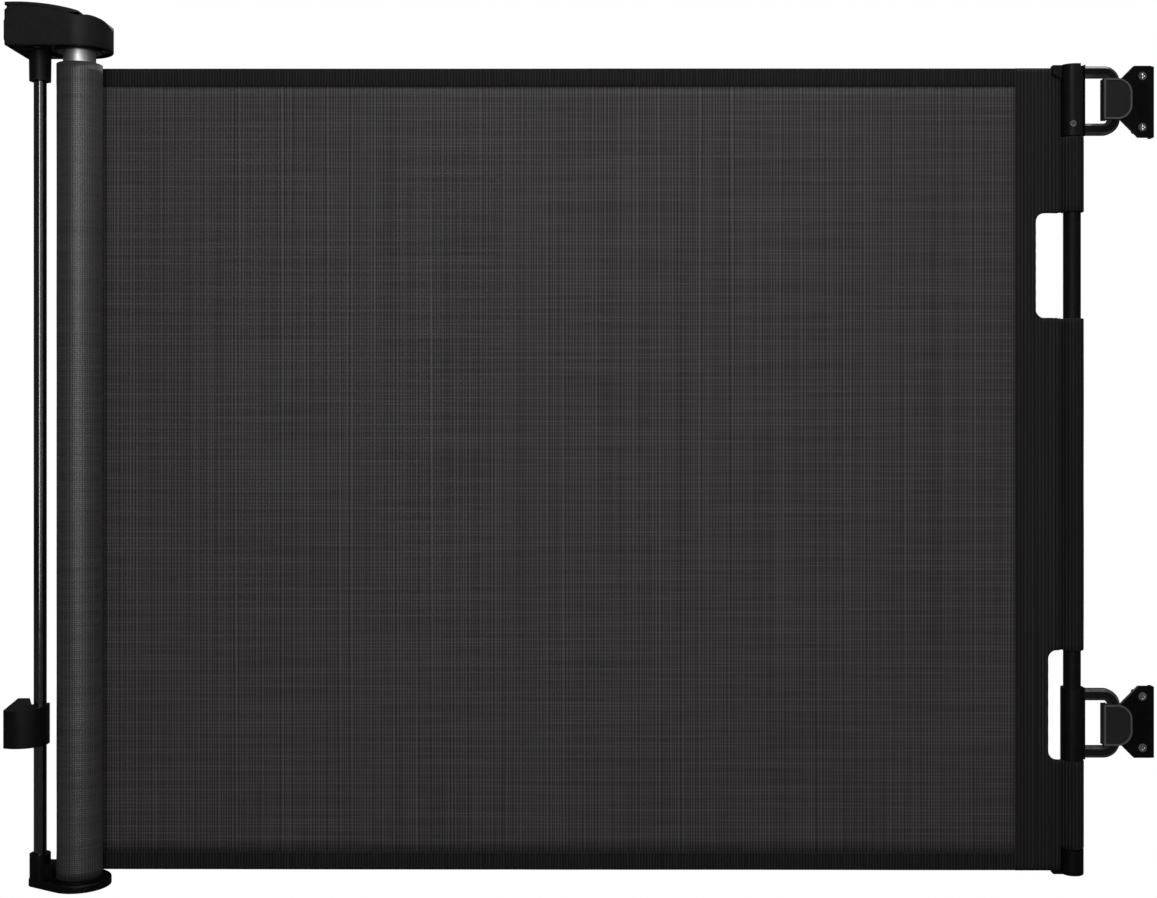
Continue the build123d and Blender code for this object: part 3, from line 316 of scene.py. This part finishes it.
CLOTH = mesh_cloth("mesh_cloth", (0.0150, 0.0135, 0.0140), (0.090, 0.082, 0.085))
ROLL = mesh_cloth("wound_cloth", (0.0070, 0.0065, 0.0067), (0.068, 0.063, 0.065),
                  pitch=0.0024, row=0.0019, cross_share=0.9, shine=0.9, smooth=0.38)
HEM = webbing("hem_webbing", (0.0042, 0.0038, 0.0041), (0.0290, 0.0272, 0.0279), 0.0028)
BAND = webbing("band_webbing", (0.0060, 0.0055, 0.0057), (0.0315, 0.0293, 0.0302), 0.0034)
SLEEVE = webbing("sleeve_webbing", (0.0020, 0.0020, 0.0021), (0.0310, 0.0304, 0.0307),
                 0.0034, depth=0.0006)
THREAD = webbing("stitch_thread", (0.008, 0.0075, 0.0078), (0.026, 0.024, 0.025), 0.0004, 0.0004)
SELVAGE = webbing("selvage_thread", (0.045, 0.042, 0.043), (0.110, 0.104, 0.106), 0.0009, 0.0009)

LOOKS = {
    HEAD: ["head_shell", "head_floor"],
    LEVER: ["lock_lever"],
    BRACKET: ["lower_wall_bracket", "upper_wall_plate"],
    BASE: ["base_shell", "base_cover"],
    CLAMP: ["upper_clamp_cover", "upper_clamp_body", "lower_clamp_cover", "lower_clamp_body",
            "bar_top_cap", "bar_bottom_cap"],
    LOOP: ["upper_loop", "lower_loop"],
    CATCH: ["upper_catch", "lower_catch"],
    INNER: ["brake_shoe", "brake_drum", "roller_bottom_plug", "roller_top_plug"],
    COLLAR: ["upper_bearing"],
    ROD: ["mounting_rod"],
    BAR: ["pull_bar"],
    TUBE: ["roller_tube"],
    STEEL: ["base_spindle", "lever_pin", "head_screws", "base_screws"],
    SPRING: ["torsion_spring", "shoe_spring"],
    SCREW: ["clamp_screws", "catch_screws"],
    PAD: ["brake_pad"],
}
ROUNDED = {
    "head_shell": 0.0005, "head_floor": 0.0003, "lock_lever": 0.0005, "lower_wall_bracket": 0.0006,
    "base_shell": 0.0006, "upper_clamp_cover": 0.0006, "upper_clamp_body": 0.0006,
    "lower_clamp_cover": 0.0006, "lower_clamp_body": 0.0006, "bar_bottom_cap": 0.0006,
    "upper_catch": 0.0005, "lower_catch": 0.0005, "upper_loop": 0.0010, "lower_loop": 0.0010,
    "bar_top_cap": 0.0006, "catch_screws": 0.0009, "clamp_screws": 0.0006,
}

for material, names in LOOKS.items():
    for name in names:
        obj = NODES[name]
        obj.data.materials.clear()
        obj.data.materials.append(material)
for name, width in ROUNDED.items():
    obj = NODES[name]
    bevel = obj.modifiers.new("rounded", "BEVEL")
    bevel.width = width
    bevel.segments = 3
    bevel.limit_method = "ANGLE"
    bevel.angle_limit = math.radians(38)
    bevel.harden_normals = False
    bevel.use_clamp_overlap = True


# ---------------------------------------------------------------- mesh helpers
def finish_piece(obj, material, body, node=None, smooth=True):
    obj.data.materials.append(material)
    if smooth:
        for face in obj.data.polygons:
            face.use_smooth = True
    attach(obj, body)
    if node:
        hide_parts(node)


def grid_object(name, points, uvs, closed_u=False):
    """A mesh of quads over rows of points; uvs are in metres."""
    mesh = bpy.data.meshes.new(name)
    rows, cols = len(points), len(points[0])
    verts = [p for row in points for p in row]
    faces = []
    corners = []
    last = cols if closed_u else cols - 1
    for r in range(rows - 1):
        for c in range(last):
            d = (c + 1) % cols
            faces.append((r * cols + c, r * cols + d, (r + 1) * cols + d, (r + 1) * cols + c))
            right = uvs[r][c + 1] if c + 1 < len(uvs[r]) else uvs[r][d]
            right_up = uvs[r + 1][c + 1] if c + 1 < len(uvs[r + 1]) else uvs[r + 1][d]
            corners.append((uvs[r][c], right, right_up, uvs[r + 1][c]))
    mesh.from_pydata([tuple(v) for v in verts], [], faces)
    layer = mesh.uv_layers.new(name="UVMap")
    loop = 0
    for quad in corners:
        for uv in quad:
            layer.data[loop].uv = uv
            loop += 1
    obj = bpy.data.objects.new(name, mesh)
    bpy.context.collection.objects.link(obj)
    return obj


def thicken(obj, thick, offset=0.0):
    solid = obj.modifiers.new("thick", "SOLIDIFY")
    solid.thickness = thick
    solid.offset = offset
    apply_modifiers(obj)


def apply_modifiers(obj):
    graph = bpy.context.evaluated_depsgraph_get()
    made = bpy.data.meshes.new_from_object(obj.evaluated_get(graph))
    obj.modifiers.clear()
    obj.data = made


def span(node, axis):
    low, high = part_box(node)
    return low[axis], high[axis]


# ---------------------------------------------------------------- mesh panel and hems
panel_x0, panel_x1 = span("mesh_panel", 0)
panel_z0, panel_z1 = span("mesh_panel", 2)
panel_y0 = span("mesh_panel", 1)[1] - 0.0004
panel_y1 = span("mesh_panel", 1)[0] + 0.0004
hem_low, hem_high = span("bottom_hem", 2)[0], span("top_hem", 2)[1]
hem_width = panel_z0 - hem_low
panel_length = panel_x1 - panel_x0
fabric_middle = (hem_low + hem_high) / 2
roller_x = (span("roller_tube", 0)[0] + span("roller_tube", 0)[1]) / 2


def fabric_y(x, z):
    """Back-to-front place of the cloth, pulled straight, with faint slack ripples."""
    t = (x - panel_x0) / panel_length
    plane = panel_y0 + (panel_y1 - panel_y0) * t
    slack = math.sin(math.pi * min(1.0, max(0.0, t)))
    ripple = noise.noise(Vector((x * 5.0, z * 0.9, 3.1))) * 0.0010
    fine = noise.noise(Vector((x * 26.0, z * 2.2, 7.7))) * 0.00025
    return plane + slack * (ripple + fine)


FAN = 0.0016


def edge_z(z, x):
    """The cloth is a little taller at the roller than at the band."""
    share = (z - fabric_middle) / ((hem_high - hem_low) / 2)
    t = min(1.0, max(0.0, (x - panel_x0) / panel_length))
    return z + FAN * (1.0 - t) * share


def cloth_strip(name, z0, z1, columns, rows, thick, proud=0.0):
    xs = [panel_x0 + panel_length * c / columns for c in range(columns + 1)]
    zs = [z0 + (z1 - z0) * r / rows for r in range(rows + 1)]
    points = [[(x, fabric_y(x, z) + proud, edge_z(z, x)) for x in xs] for z in zs]
    uvs = [[(x, z) for x in xs] for z in zs]
    obj = grid_object(name, points, uvs)
    thicken(obj, thick)
    return obj


def follow_retract(obj):
    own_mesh(obj)


overlap = 0.0015
panel = cloth_strip("mesh_cloth_panel", panel_z0 - overlap, panel_z1 + overlap, 220, 60, 0.0008)
finish_piece(panel, CLOTH, "wall_side", "mesh_panel")


def hem_strip(name, z0, z1, node, outer):
    """A turned-over hem: two layers round a rolled outer edge, with a flat inner edge."""
    columns = 220
    thick = 0.00165
    around = 8
    edge = z1 if outer > 0 else z0
    inner = z0 if outer > 0 else z1
    profile = []
    steps = 9
    for i in range(steps):
        profile.append((inner + (edge - outer * thick / 2 - inner) * i / (steps - 1), thick / 2))
    for i in range(1, around):
        turn = math.pi * i / around
        profile.append((edge - outer * thick / 2 + outer * math.sin(turn) * thick / 2,
                        math.cos(turn) * thick / 2))
    for i in range(steps):
        profile.append((edge - outer * thick / 2 + (inner - edge + outer * thick / 2) * i / (steps - 1),
                        -thick / 2))
    rows = []
    uvs = []
    along = 0.0
    for index, (z, y) in enumerate(profile):
        if index:
            pz, py = profile[index - 1]
            along += math.hypot(z - pz, y - py)
        row = []
        for c in range(columns + 1):
            x = panel_x0 + panel_length * c / columns
            swell = 1.0 + 0.10 * noise.noise(Vector((x * 40.0, z * 60.0, 1.0)))
            crease = 0.00010 * math.sin(x / 0.0031 * math.tau)
            groove = 0.0
            for line in (0.0022, 0.0045):
                groove += 0.00022 * math.exp(-(((abs(z - inner) - line) / 0.0005) ** 2))
            side = 1.0 if y > 0 else -1.0
            off = y * swell - side * groove + (side * crease if abs(y) > 0.0004 else 0.0)
            row.append((x, fabric_y(x, z) + off, edge_z(z, x)))
        rows.append(row)
        uvs.append([(panel_x0 + panel_length * c / columns, along) for c in range(columns + 1)])
    rows.append(rows[0])
    uvs.append([(u, along + thick) for u, v in uvs[0]])
    obj = grid_object(name, rows, uvs)
    finish_piece(obj, HEM, "wall_side", node)
    return obj


top_hem = hem_strip("top_hem_fold", panel_z1, hem_high, "top_hem", 1)
bottom_hem = hem_strip("bottom_hem_fold", hem_low, panel_z0, "bottom_hem", -1)


def capsule(bm, start, end, radius, sides=6):
    """A short rounded stitch from start to end."""
    start, end = Vector(start), Vector(end)
    axis = (end - start).normalized()
    side = axis.orthogonal().normalized()
    up = axis.cross(side)
    rings = []
    for place, width in ((0.0, 0.25), (0.18, 0.85), (0.5, 1.0), (0.82, 0.85), (1.0, 0.25)):
        centre = start.lerp(end, place)
        ring = []
        for i in range(sides):
            turn = math.tau * i / sides
            offset = (side * math.cos(turn) + up * math.sin(turn)) * radius * width
            ring.append(bm.verts.new(centre + offset))
        rings.append(ring)
    for a, b in zip(rings, rings[1:]):
        for i in range(sides):
            j = (i + 1) % sides
            bm.faces.new((a[i], a[j], b[j], b[i]))
    bm.faces.new(list(reversed(rings[0])))
    bm.faces.new(rings[-1])


def stitch_object(name, runs, radius=0.00022):
    """runs: lists of (start, end) stitches."""
    bm = bmesh.new()
    for start, end in runs:
        capsule(bm, start, end, radius)
    mesh = bpy.data.meshes.new(name)
    bm.to_mesh(mesh)
    bm.free()
    layer = mesh.uv_layers.new(name="UVMap")
    for loop in mesh.loops:
        co = mesh.vertices[loop.vertex_index].co
        layer.data[loop.index].uv = (co.x + co.y, co.z)
    obj = bpy.data.objects.new(name, mesh)
    bpy.context.collection.objects.link(obj)
    return obj


def hem_stitches(name, z):
    pitch = 0.0034
    count = int((panel_length - 0.004) / pitch)
    runs = []
    for side in (-1, 1):
        for i in range(count):
            x = panel_x0 + 0.002 + i * pitch
            y = fabric_y(x, z) + side * 0.00078
            runs.append(((x, y, edge_z(z, x)), (x + pitch * 0.72, y, edge_z(z, x))))
    obj = stitch_object(name, runs)
    finish_piece(obj, THREAD, "wall_side", None)
    follow_retract(obj)
    return obj


for piece in (panel, top_hem, bottom_hem):
    follow_retract(piece)
hem_stitches("top_hem_stitches_a", panel_z1 + 0.0022)
hem_stitches("top_hem_stitches_b", panel_z1 + 0.0045)
hem_stitches("bottom_hem_stitches_a", panel_z0 - 0.0022)
hem_stitches("bottom_hem_stitches_b", panel_z0 - 0.0045)

# the mesh's last upright thread, beside the band
def selvage_thread():
    radius = 0.00045
    x = panel_x1 - 0.0007
    points = []
    uvs = []
    rows = 80
    for r in range(rows + 1):
        z = panel_z0 + 0.0005 + (panel_z1 - panel_z0 - 0.001) * r / rows
        y = fabric_y(x, z)
        ring = []
        uv = []
        for k in range(8):
            turn = math.tau * k / 8
            ring.append((x + radius * math.cos(turn), y + 0.00055 * math.sin(turn), edge_z(z, x)))
            uv.append((k * 0.0004, z))
        uv.append((8 * 0.0004, z))
        points.append(ring)
        uvs.append(uv)
    obj = grid_object("selvage_thread", points, uvs, closed_u=True)
    bm = bmesh.new()
    bm.from_mesh(obj.data)
    bm.verts.ensure_lookup_table()
    bm.faces.new([bm.verts[k] for k in range(8)])
    bm.faces.new([bm.verts[rows * 8 + k] for k in reversed(range(8))])
    bmesh.ops.recalc_face_normals(bm, faces=bm.faces)
    bm.to_mesh(obj.data)
    bm.free()
    finish_piece(obj, SELVAGE, "mesh_lead", None)


selvage_thread()

# ---------------------------------------------------------------- wound mesh
roll_radius = (span("wound_mesh", 0)[1] - span("wound_mesh", 0)[0]) / 2
roll_z0, roll_z1 = span("wound_mesh", 2)
core_radius = (span("roller_tube", 0)[1] - span("roller_tube", 0)[0]) / 2 + 0.0003


def wound_roll():
    """A spiral of cloth: outer face in full, its rolled edges as stepped rings at both ends."""
    sides = 96
    rows_z = 90
    points = []
    uvs = []

    def ring(radius_of, z, lean=0.0):
        row = []
        for i in range(sides):
            turn = math.tau * i / sides
            r = radius_of(turn) + lean
            row.append((roller_x + r * math.cos(turn), r * math.sin(turn), z))
        return row

    def skin(z):
        def radius_of(turn):
            # the outermost edge lies where the cloth leaves, at the back
            step = ((turn - math.pi / 2) % math.tau) / math.tau
            wave = 0.00012 * noise.noise(Vector((math.cos(turn) * 2, math.sin(turn) * 2, z * 18)))
            hem = 0.00016 if z < roll_z0 + hem_width or z > roll_z1 - hem_width else 0.0
            return roll_radius - 0.00055 + 0.0003 * step + wave + hem
        return radius_of

    layers = 5
    z_list = [roll_z0 + (roll_z1 - roll_z0) * r / rows_z for r in range(rows_z + 1)]

    def end_rings(z, direction):
        rings = []
        for k in range(layers):
            outer = roll_radius - 0.0006 - k * (roll_radius - core_radius) / layers
            inner = outer - (roll_radius - core_radius) / layers * 0.82
            dip = direction * (0.0006 + 0.0004 * random.random() * (k > 0))
            lift = direction * 0.0003 * (k % 2)
            rings.append((outer, z - lift))
            rings.append((outer - 0.0002, z - lift + 0.0))
            rings.append((inner, z - lift))
            rings.append((inner - 0.0002, z - dip * 1.6))
        return rings

    rings = [(r, z) for r, z in reversed(end_rings(roll_z0, -1))]
    for r, z in rings:
        points.append(ring(lambda turn, r=r: r, z))
        uvs.append(r)
    for z in z_list:
        points.append(ring(skin(z), z))
        uvs.append(z)
    for r, z in end_rings(roll_z1, 1):
        points.append(ring(lambda turn, r=r: r, z))
        uvs.append(r)
    around = math.tau * roll_radius
    along = 0.0
    uv_rows = []
    for index, row in enumerate(points):
        if index:
            a, b = Vector(points[index - 1][0]), Vector(row[0])
            along += (b - a).length
        uv_rows.append([(around * i / sides, along) for i in range(sides + 1)])
    obj = grid_object("wound_cloth", points, uv_rows, closed_u=True)
    # close the bore so that the roll is one solid
    bm = bmesh.new()
    bm.from_mesh(obj.data)
    bm.verts.ensure_lookup_table()
    total = len(points)
    low = [bm.verts[i] for i in range(sides)]
    high = [bm.verts[(total - 1) * sides + i] for i in range(sides)]
    for i in range(sides):
        j = (i + 1) % sides
        bm.faces.new((low[i], high[i], high[j], low[j]))
    bmesh.ops.recalc_face_normals(bm, faces=bm.faces)
    bm.to_mesh(obj.data)
    bm.free()
    return obj


roll = wound_roll()
finish_piece(roll, ROLL, "roller", "wound_mesh")


# the cloth's tangent run from the roll's back to the panel, so that no gap shows
def roll_feed():
    columns = 10
    rows = 60
    points = []
    uvs = []
    reach = math.radians(32)
    for r in range(rows + 1):
        z = hem_low + (hem_high - hem_low) * r / rows
        row = []
        uv = []
        for c in range(columns + 1):
            t = c / columns
            turn = math.pi / 2 + reach * (1 - t)
            radius = roll_radius - 0.0004 + (panel_y0 - roll_radius + 0.0004) * t ** 2
            row.append((roller_x + radius * math.cos(turn), radius * math.sin(turn), z))
            uv.append((roller_x - radius * (math.pi / 2 - turn + reach) + 0.5, z))
        points.append(row)
        uvs.append(uv)
    obj = grid_object("roll_feed", points, uvs)
    thicken(obj, 0.0007)
    return obj


feed = roll_feed()
finish_piece(feed, ROLL, "wall_side", None)

# ---------------------------------------------------------------- lead band
band_x0, band_x1 = span("lead_band", 0)
band_y = (span("lead_band", 1)[0] + span("lead_band", 1)[1]) / 2
bar_x = (span("pull_bar", 0)[0] + span("pull_bar", 0)[1]) / 2
upper_low = span("middle_sleeve", 2)[1]
upper_high = span("upper_sleeve", 2)[0]
lower_low = -0.037
lower_high = span("middle_sleeve", 2)[0]
upper_left = bar_x - 0.0083 - 0.027
lower_left = bar_x - 0.0083 - 0.015
CORNER = 0.009
room_left = bar_x - 0.0199
room_low = span("upper_clamp_body", 2)[1] - 0.0138


def band_rib(x):
    """Height of the webbing's ribs across the band."""
    rib = 0.00016 * math.cos((x - band_x0) / 0.0034 * math.tau)
    seam = -0.00035 * math.exp(-(((x - band_x0 - 0.0035) / 0.0007) ** 2))
    seam -= 0.00030 * math.exp(-(((x - band_x1 + 0.0040) / 0.0007) ** 2))
    return rib + seam


def band_piece(xs, low_of, high_of, rows, name):
    points = []
    uvs = []
    for r in range(rows + 1):
        row = []
        uv = []
        for x in xs:
            z0, z1 = low_of(x), high_of(x)
            z = z0 + (z1 - z0) * r / rows
            ease = min(1.0, (x - band_x0) / 0.004)
            rib = band_rib(x)
            puck = 0.00012 * noise.noise(Vector((x * 120, z * 60, 5.0)))
            row.append((x, band_y - rib * 0.5 + puck * ease, z))
            uv.append((x, z))
        points.append(row)
        uvs.append(uv)
    return grid_object(name, points, uvs)


def arc_drop(x, left):
    """How far the opening's edge stands off its flat end near a rounded corner."""
    inside = left + CORNER - x
    if inside <= 0:
        return 0.0
    return CORNER - math.sqrt(max(0.0, CORNER ** 2 - inside ** 2))


def columns_between(a, b, step=0.00055):
    count = max(2, int(round((b - a) / step)))
    return [a + (b - a) * i / count for i in range(count + 1)]


def band_top(x):
    """The upper corner makes room for the clamp's slanted lug."""
    if x < room_left + 0.0002:
        return hem_high
    share = (x - room_left) / (band_x1 - room_left)
    return room_low + 0.0045 * (1.0 - share)


parts = []
left_columns = columns_between(band_x0, upper_left)
parts.append(band_piece(left_columns, lambda x: hem_low, lambda x: hem_high, 190, "band_left"))
middle_columns = columns_between(upper_left, lower_left)
right_columns = columns_between(lower_left, band_x1)
parts.append(band_piece(columns_between(upper_left, room_left),
                        lambda x: upper_high - arc_drop(x, upper_left),
                        lambda x: hem_high, 40, "band_top_a"))
parts.append(band_piece(columns_between(room_left + 0.00021, band_x1),
                        lambda x: upper_high, band_top, 36, "band_top_b"))
parts.append(band_piece(middle_columns, lambda x: hem_low,
                        lambda x: upper_low + arc_drop(x, upper_left), 130, "band_middle"))
parts.append(band_piece(right_columns, lambda x: lower_high - arc_drop(x, lower_left),
                        lambda x: upper_low + arc_drop(x, upper_left), 80, "band_right"))
parts.append(band_piece(right_columns, lambda x: hem_low,
                        lambda x: lower_low + arc_drop(x, lower_left), 24, "band_low"))


def joined(name, pieces):
    bm = bmesh.new()
    for piece in pieces:
        bm.from_mesh(piece.data)
    bmesh.ops.remove_doubles(bm, verts=bm.verts, dist=0.00005)
    mesh = bpy.data.meshes.new(name)
    bm.to_mesh(mesh)
    bm.free()
    obj = bpy.data.objects.new(name, mesh)
    bpy.context.collection.objects.link(obj)
    for piece in pieces:
        bpy.data.objects.remove(piece)
    return obj


band = joined("lead_band_webbing", parts)
thicken(band, 0.0017)
finish_piece(band, BAND, "mesh_lead", "lead_band")


def edge_binding(name, points, radius=0.00095):
    """A bound edge: a soft cord-like fold along a line of points."""
    sides = 8
    rows = []
    uvs = []
    along = 0.0
    count = len(points)
    for i, point in enumerate(points):
        here = Vector(point)
        ahead = Vector(points[min(i + 1, count - 1)])
        behind = Vector(points[max(i - 1, 0)])
        axis = (ahead - behind).normalized()
        out = Vector((0, 1, 0))
        side = axis.cross(out).normalized()
        if i:
            along += (here - Vector(points[i - 1])).length
        taper = 0.35 if i in (0, count - 1) else 1.0
        row = []
        uv = []
        for k in range(sides):
            turn = math.tau * k / sides
            swell = 1.0 + 0.06 * math.sin(along / 0.0021 * math.tau)
            offset = (side * math.cos(turn) * 1.25 + out * math.sin(turn)) * radius * taper * swell
            row.append(tuple(here + offset))
            uv.append((along, k * radius))
        uv.append((along, sides * radius))
        rows.append(row)
        uvs.append(uv)
    obj = grid_object(name, rows, uvs, closed_u=True)
    bm = bmesh.new()
    bm.from_mesh(obj.data)
    bm.verts.ensure_lookup_table()
    bm.faces.new([bm.verts[k] for k in range(sides)])
    bm.faces.new([bm.verts[(count - 1) * sides + k] for k in reversed(range(sides))])
    bmesh.ops.recalc_face_normals(bm, faces=bm.faces)
    bm.to_mesh(obj.data)
    bm.free()
    finish_piece(obj, HEM, "mesh_lead", None)
    return obj


def opening_line(left, low, high):
    right = band_x1 - 0.0012
    line = []
    flat = 8
    for i in range(flat):
        line.append((right + (left + CORNER - right) * i / flat, band_y, low))
    for i in range(9):
        turn = math.pi / 2 * i / 8
        line.append((left + CORNER - CORNER * math.sin(turn), band_y,
                     low + CORNER - CORNER * math.cos(turn)))
    steps = 24
    for i in range(1, steps):
        line.append((left, band_y, low + CORNER + (high - low - 2 * CORNER) * i / steps))
    for i in range(9):
        turn = math.pi / 2 * i / 8
        line.append((left + CORNER - CORNER * math.cos(turn), band_y,
                     high - CORNER + CORNER * math.sin(turn)))
    for i in range(1, flat + 1):
        line.append((left + CORNER + (right - left - CORNER) * i / flat, band_y, high))
    return line


inset = 0.0007
edge_binding("upper_opening_binding",
             opening_line(upper_left - inset, upper_low - inset, upper_high + inset))
edge_binding("lower_opening_binding",
             opening_line(lower_left - inset, lower_low - inset, lower_high + inset))


def band_stitches(name, x, spans):
    runs = []
    pitch = 0.0036
    for z0, z1 in spans:
        for side in (-1, 1):
            for i in range(int((z1 - z0) / pitch)):
                z = z0 + i * pitch
                y = band_y + side * 0.00072
                runs.append(((x, y, z), (x, y, z + pitch * 0.7)))
    obj = stitch_object(name, runs, 0.00026)
    finish_piece(obj, THREAD, "mesh_lead", None)


band_stitches("band_stitches_left", band_x0 + 0.0035, [(hem_low + 0.001, hem_high - 0.001)])
band_stitches("band_stitches_mid", upper_left - 0.0045, [(hem_low + 0.001, hem_high - 0.001)])
band_stitches("band_stitches_right", band_x1 - 0.0040,
              [(upper_high + 0.002, room_low - 0.002), (lower_high + 0.002, upper_low - 0.002),
               (hem_low + 0.002, lower_low - 0.002)])


# ---------------------------------------------------------------- sleeves on the pull bar
def sleeve(node, name):
    low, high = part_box(node)
    z0, z1 = low[2] + 0.0003, high[2] - 0.0003
    centre_y = (low[1] + high[1]) / 2
    outer = (high[1] - low[1]) / 2 - 0.00015
    inner = outer - 0.0017
    sides = 72
    rows = max(12, int((z1 - z0) / 0.005))
    profile = [(inner, z0 + 0.0004), (inner + 0.0005, z0), (outer - 0.0006, z0 + 0.0001),
               (outer, z0 + 0.0009)]
    for r in range(1, rows):
        profile.append((outer, z0 + 0.0009 + (z1 - z0 - 0.0018) * r / rows))
    profile += [(outer, z1 - 0.0009), (outer - 0.0006, z1 - 0.0001), (inner + 0.0005, z1),
                (inner, z1 - 0.0004)]
    points = []
    uvs = []
    along = 0.0
    for index, (radius, z) in enumerate(profile):
        if index:
            pr, pz = profile[index - 1]
            along += math.hypot(radius - pr, z - pz)
        row = []
        uv = []
        for i in range(sides):
            turn = math.tau * i / sides
            r = radius
            if radius > inner + 0.001:
                r += 0.00022 * math.cos(turn * 20)
                r += 0.00020 * noise.noise(Vector((math.cos(turn), math.sin(turn), z * 9)))
                # where the cloth is drawn to the seam it stands off the bar
                r += 0.0004 * math.exp(-(((turn - math.pi) / 0.35) ** 2))
                for edge in (z0 + 0.0045, z1 - 0.0045):
                    r -= 0.0003 * math.exp(-(((z - edge) / 0.0007) ** 2))
                r = min(r, outer + 0.0002)
            row.append((bar_x + r * math.cos(turn), centre_y + r * math.sin(turn), z))
            uv.append((outer * turn, along))
        uv.append((outer * math.tau, along))
        points.append(row)
        uvs.append(uv)
    obj = grid_object(name, points, uvs, closed_u=True)
    bm = bmesh.new()
    bm.from_mesh(obj.data)
    bm.verts.ensure_lookup_table()
    total = len(points)
    for i in range(sides):
        j = (i + 1) % sides
        bm.faces.new((bm.verts[i], bm.verts[(total - 1) * sides + i],
                      bm.verts[(total - 1) * sides + j], bm.verts[j]))
    # the seam flap that runs from the sleeve to the band
    bmesh.ops.recalc_face_normals(bm, faces=bm.faces)
    bm.to_mesh(obj.data)
    bm.free()
    finish_piece(obj, SLEEVE, "mesh_lead", node)
    rows = max(4, int((z1 - z0) / 0.01))
    xs = [band_x1 - 0.0006, band_x1 + 0.0004, band_x1 + 0.0012, band_x1 + 0.0020]
    flap = grid_object(name + "_seam",
                       [[(x, centre_y, z0 + (z1 - z0) * r / rows) for x in xs]
                        for r in range(rows + 1)],
                       [[(x, z0 + (z1 - z0) * r / rows) for x in xs] for r in range(rows + 1)])
    thicken(flap, 0.0015)
    finish_piece(flap, BAND, "mesh_lead", None)
    return obj


for node in ("upper_sleeve", "middle_sleeve", "lower_sleeve"):
    sleeve(node, node + "_cloth")

# ---------------------------------------------------------------- stage, light, camera
CAMERA = Vector((0.5439, -1.470, 0.3165))


def stage_sheet():
    """Floor that curves up into the backdrop."""
    floor_z = cad_box[0][2] - 0.0004
    profile = []
    for i in range(3):
        profile.append((-4.0 + 2.6 * i, floor_z))
    radius = 1.2
    for i in range(13):
        turn = math.pi / 2 * i / 12
        profile.append((1.9 + radius * math.sin(turn), floor_z + radius * (1 - math.cos(turn))))
    profile.append((1.9 + radius, 4.5))
    xs = [-5.0, -2.0, 0.5, 3.0, 6.0]
    obj = grid_object("backdrop", [[(x, y, z) for x in xs] for y, z in profile],
                      [[(x, y + z) for x in xs] for y, z in profile])
    for face in obj.data.polygons:
        face.use_smooth = True
    mat = bpy.data.materials.new("pale_backdrop")
    mat.use_nodes = True
    tree = mat.node_tree
    tree.nodes.clear()
    out = tree.nodes.new("ShaderNodeOutputMaterial")
    mix = tree.nodes.new("ShaderNodeMixShader")
    diffuse = tree.nodes.new("ShaderNodeBsdfDiffuse")
    diffuse.inputs["Color"].default_value = (0.12, 0.12, 0.12, 1)
    glow = tree.nodes.new("ShaderNodeEmission")
    glow.inputs["Color"].default_value = (1, 1, 1, 1)
    glow.inputs["Strength"].default_value = 1.0
    path = tree.nodes.new("ShaderNodeLightPath")
    share = tree.nodes.new("ShaderNodeMath")
    share.operation = "MULTIPLY"
    share.inputs[1].default_value = 1.0
    tree.links.new(path.outputs["Is Camera Ray"], share.inputs[0])
    tree.links.new(share.outputs[0], mix.inputs["Fac"])
    tree.links.new(diffuse.outputs[0], mix.inputs[1])
    tree.links.new(glow.outputs[0], mix.inputs[2])
    tree.links.new(mix.outputs[0], out.inputs["Surface"])
    obj.data.materials.append(mat)


stage_sheet()


def soft_light(name, place, target, size_x, size_y, power):
    data = bpy.data.lights.new(name, "AREA")
    data.shape = "RECTANGLE"
    data.size = size_x
    data.size_y = size_y
    data.energy = power
    obj = bpy.data.objects.new(name, data)
    bpy.context.collection.objects.link(obj)
    obj.location = place
    aim = Vector(target) - Vector(place)
    obj.rotation_euler = aim.to_track_quat("-Z", "Y").to_euler()
    return obj


soft_light("front_softbox", (0.26, -2.1, 0.5), (0.2, 0, 0.25), 0.30, 1.9, 13)
soft_light("key_softbox", (0.95, -1.75, 2.15), (0.35, 0, 0.25), 1.3, 1.0, 13)
soft_light("side_softbox", (1.15, -1.9, 0.5), (0.2, 0, 0.25), 0.5, 1.9, 3.4)
soft_light("right_softbox", (2.6, -1.5, 0.8), (0.8, 0, 0.25), 0.22, 1.7, 1.6)
soft_light("top_softbox", (0.6, 0.15, 2.5), (0.6, 0.12, 0.3), 3.4, 1.0, 42)
soft_light("back_softbox", (0.5, 1.4, 1.6), (0.5, 0, 0.2), 1.6, 0.8, 5)

world = bpy.data.worlds.new("studio")
world.use_nodes = True
background = world.node_tree.nodes["Background"]
background.inputs["Color"].default_value = (1, 1, 1, 1)
background.inputs["Strength"].default_value = 0.06
bpy.context.scene.world = world

camera_data = bpy.data.cameras.new("camera")
SENSOR_WIDTH = 36.0
FRAME_WIDTH = 1157.0
camera_data.sensor_width = SENSOR_WIDTH
camera_data.lens = SENSOR_WIDTH * 1531.4 / FRAME_WIDTH
camera_data.shift_x = 0.5 / FRAME_WIDTH
camera_data.shift_y = -54.0 / FRAME_WIDTH
camera_data.clip_start = 0.01
camera = bpy.data.objects.new("camera", camera_data)
bpy.context.collection.objects.link(camera)
camera.location = CAMERA
camera.rotation_euler = (math.pi / 2, 0, 0)
bpy.context.scene.camera = camera
bpy.context.scene.view_settings.view_transform = "Standard"
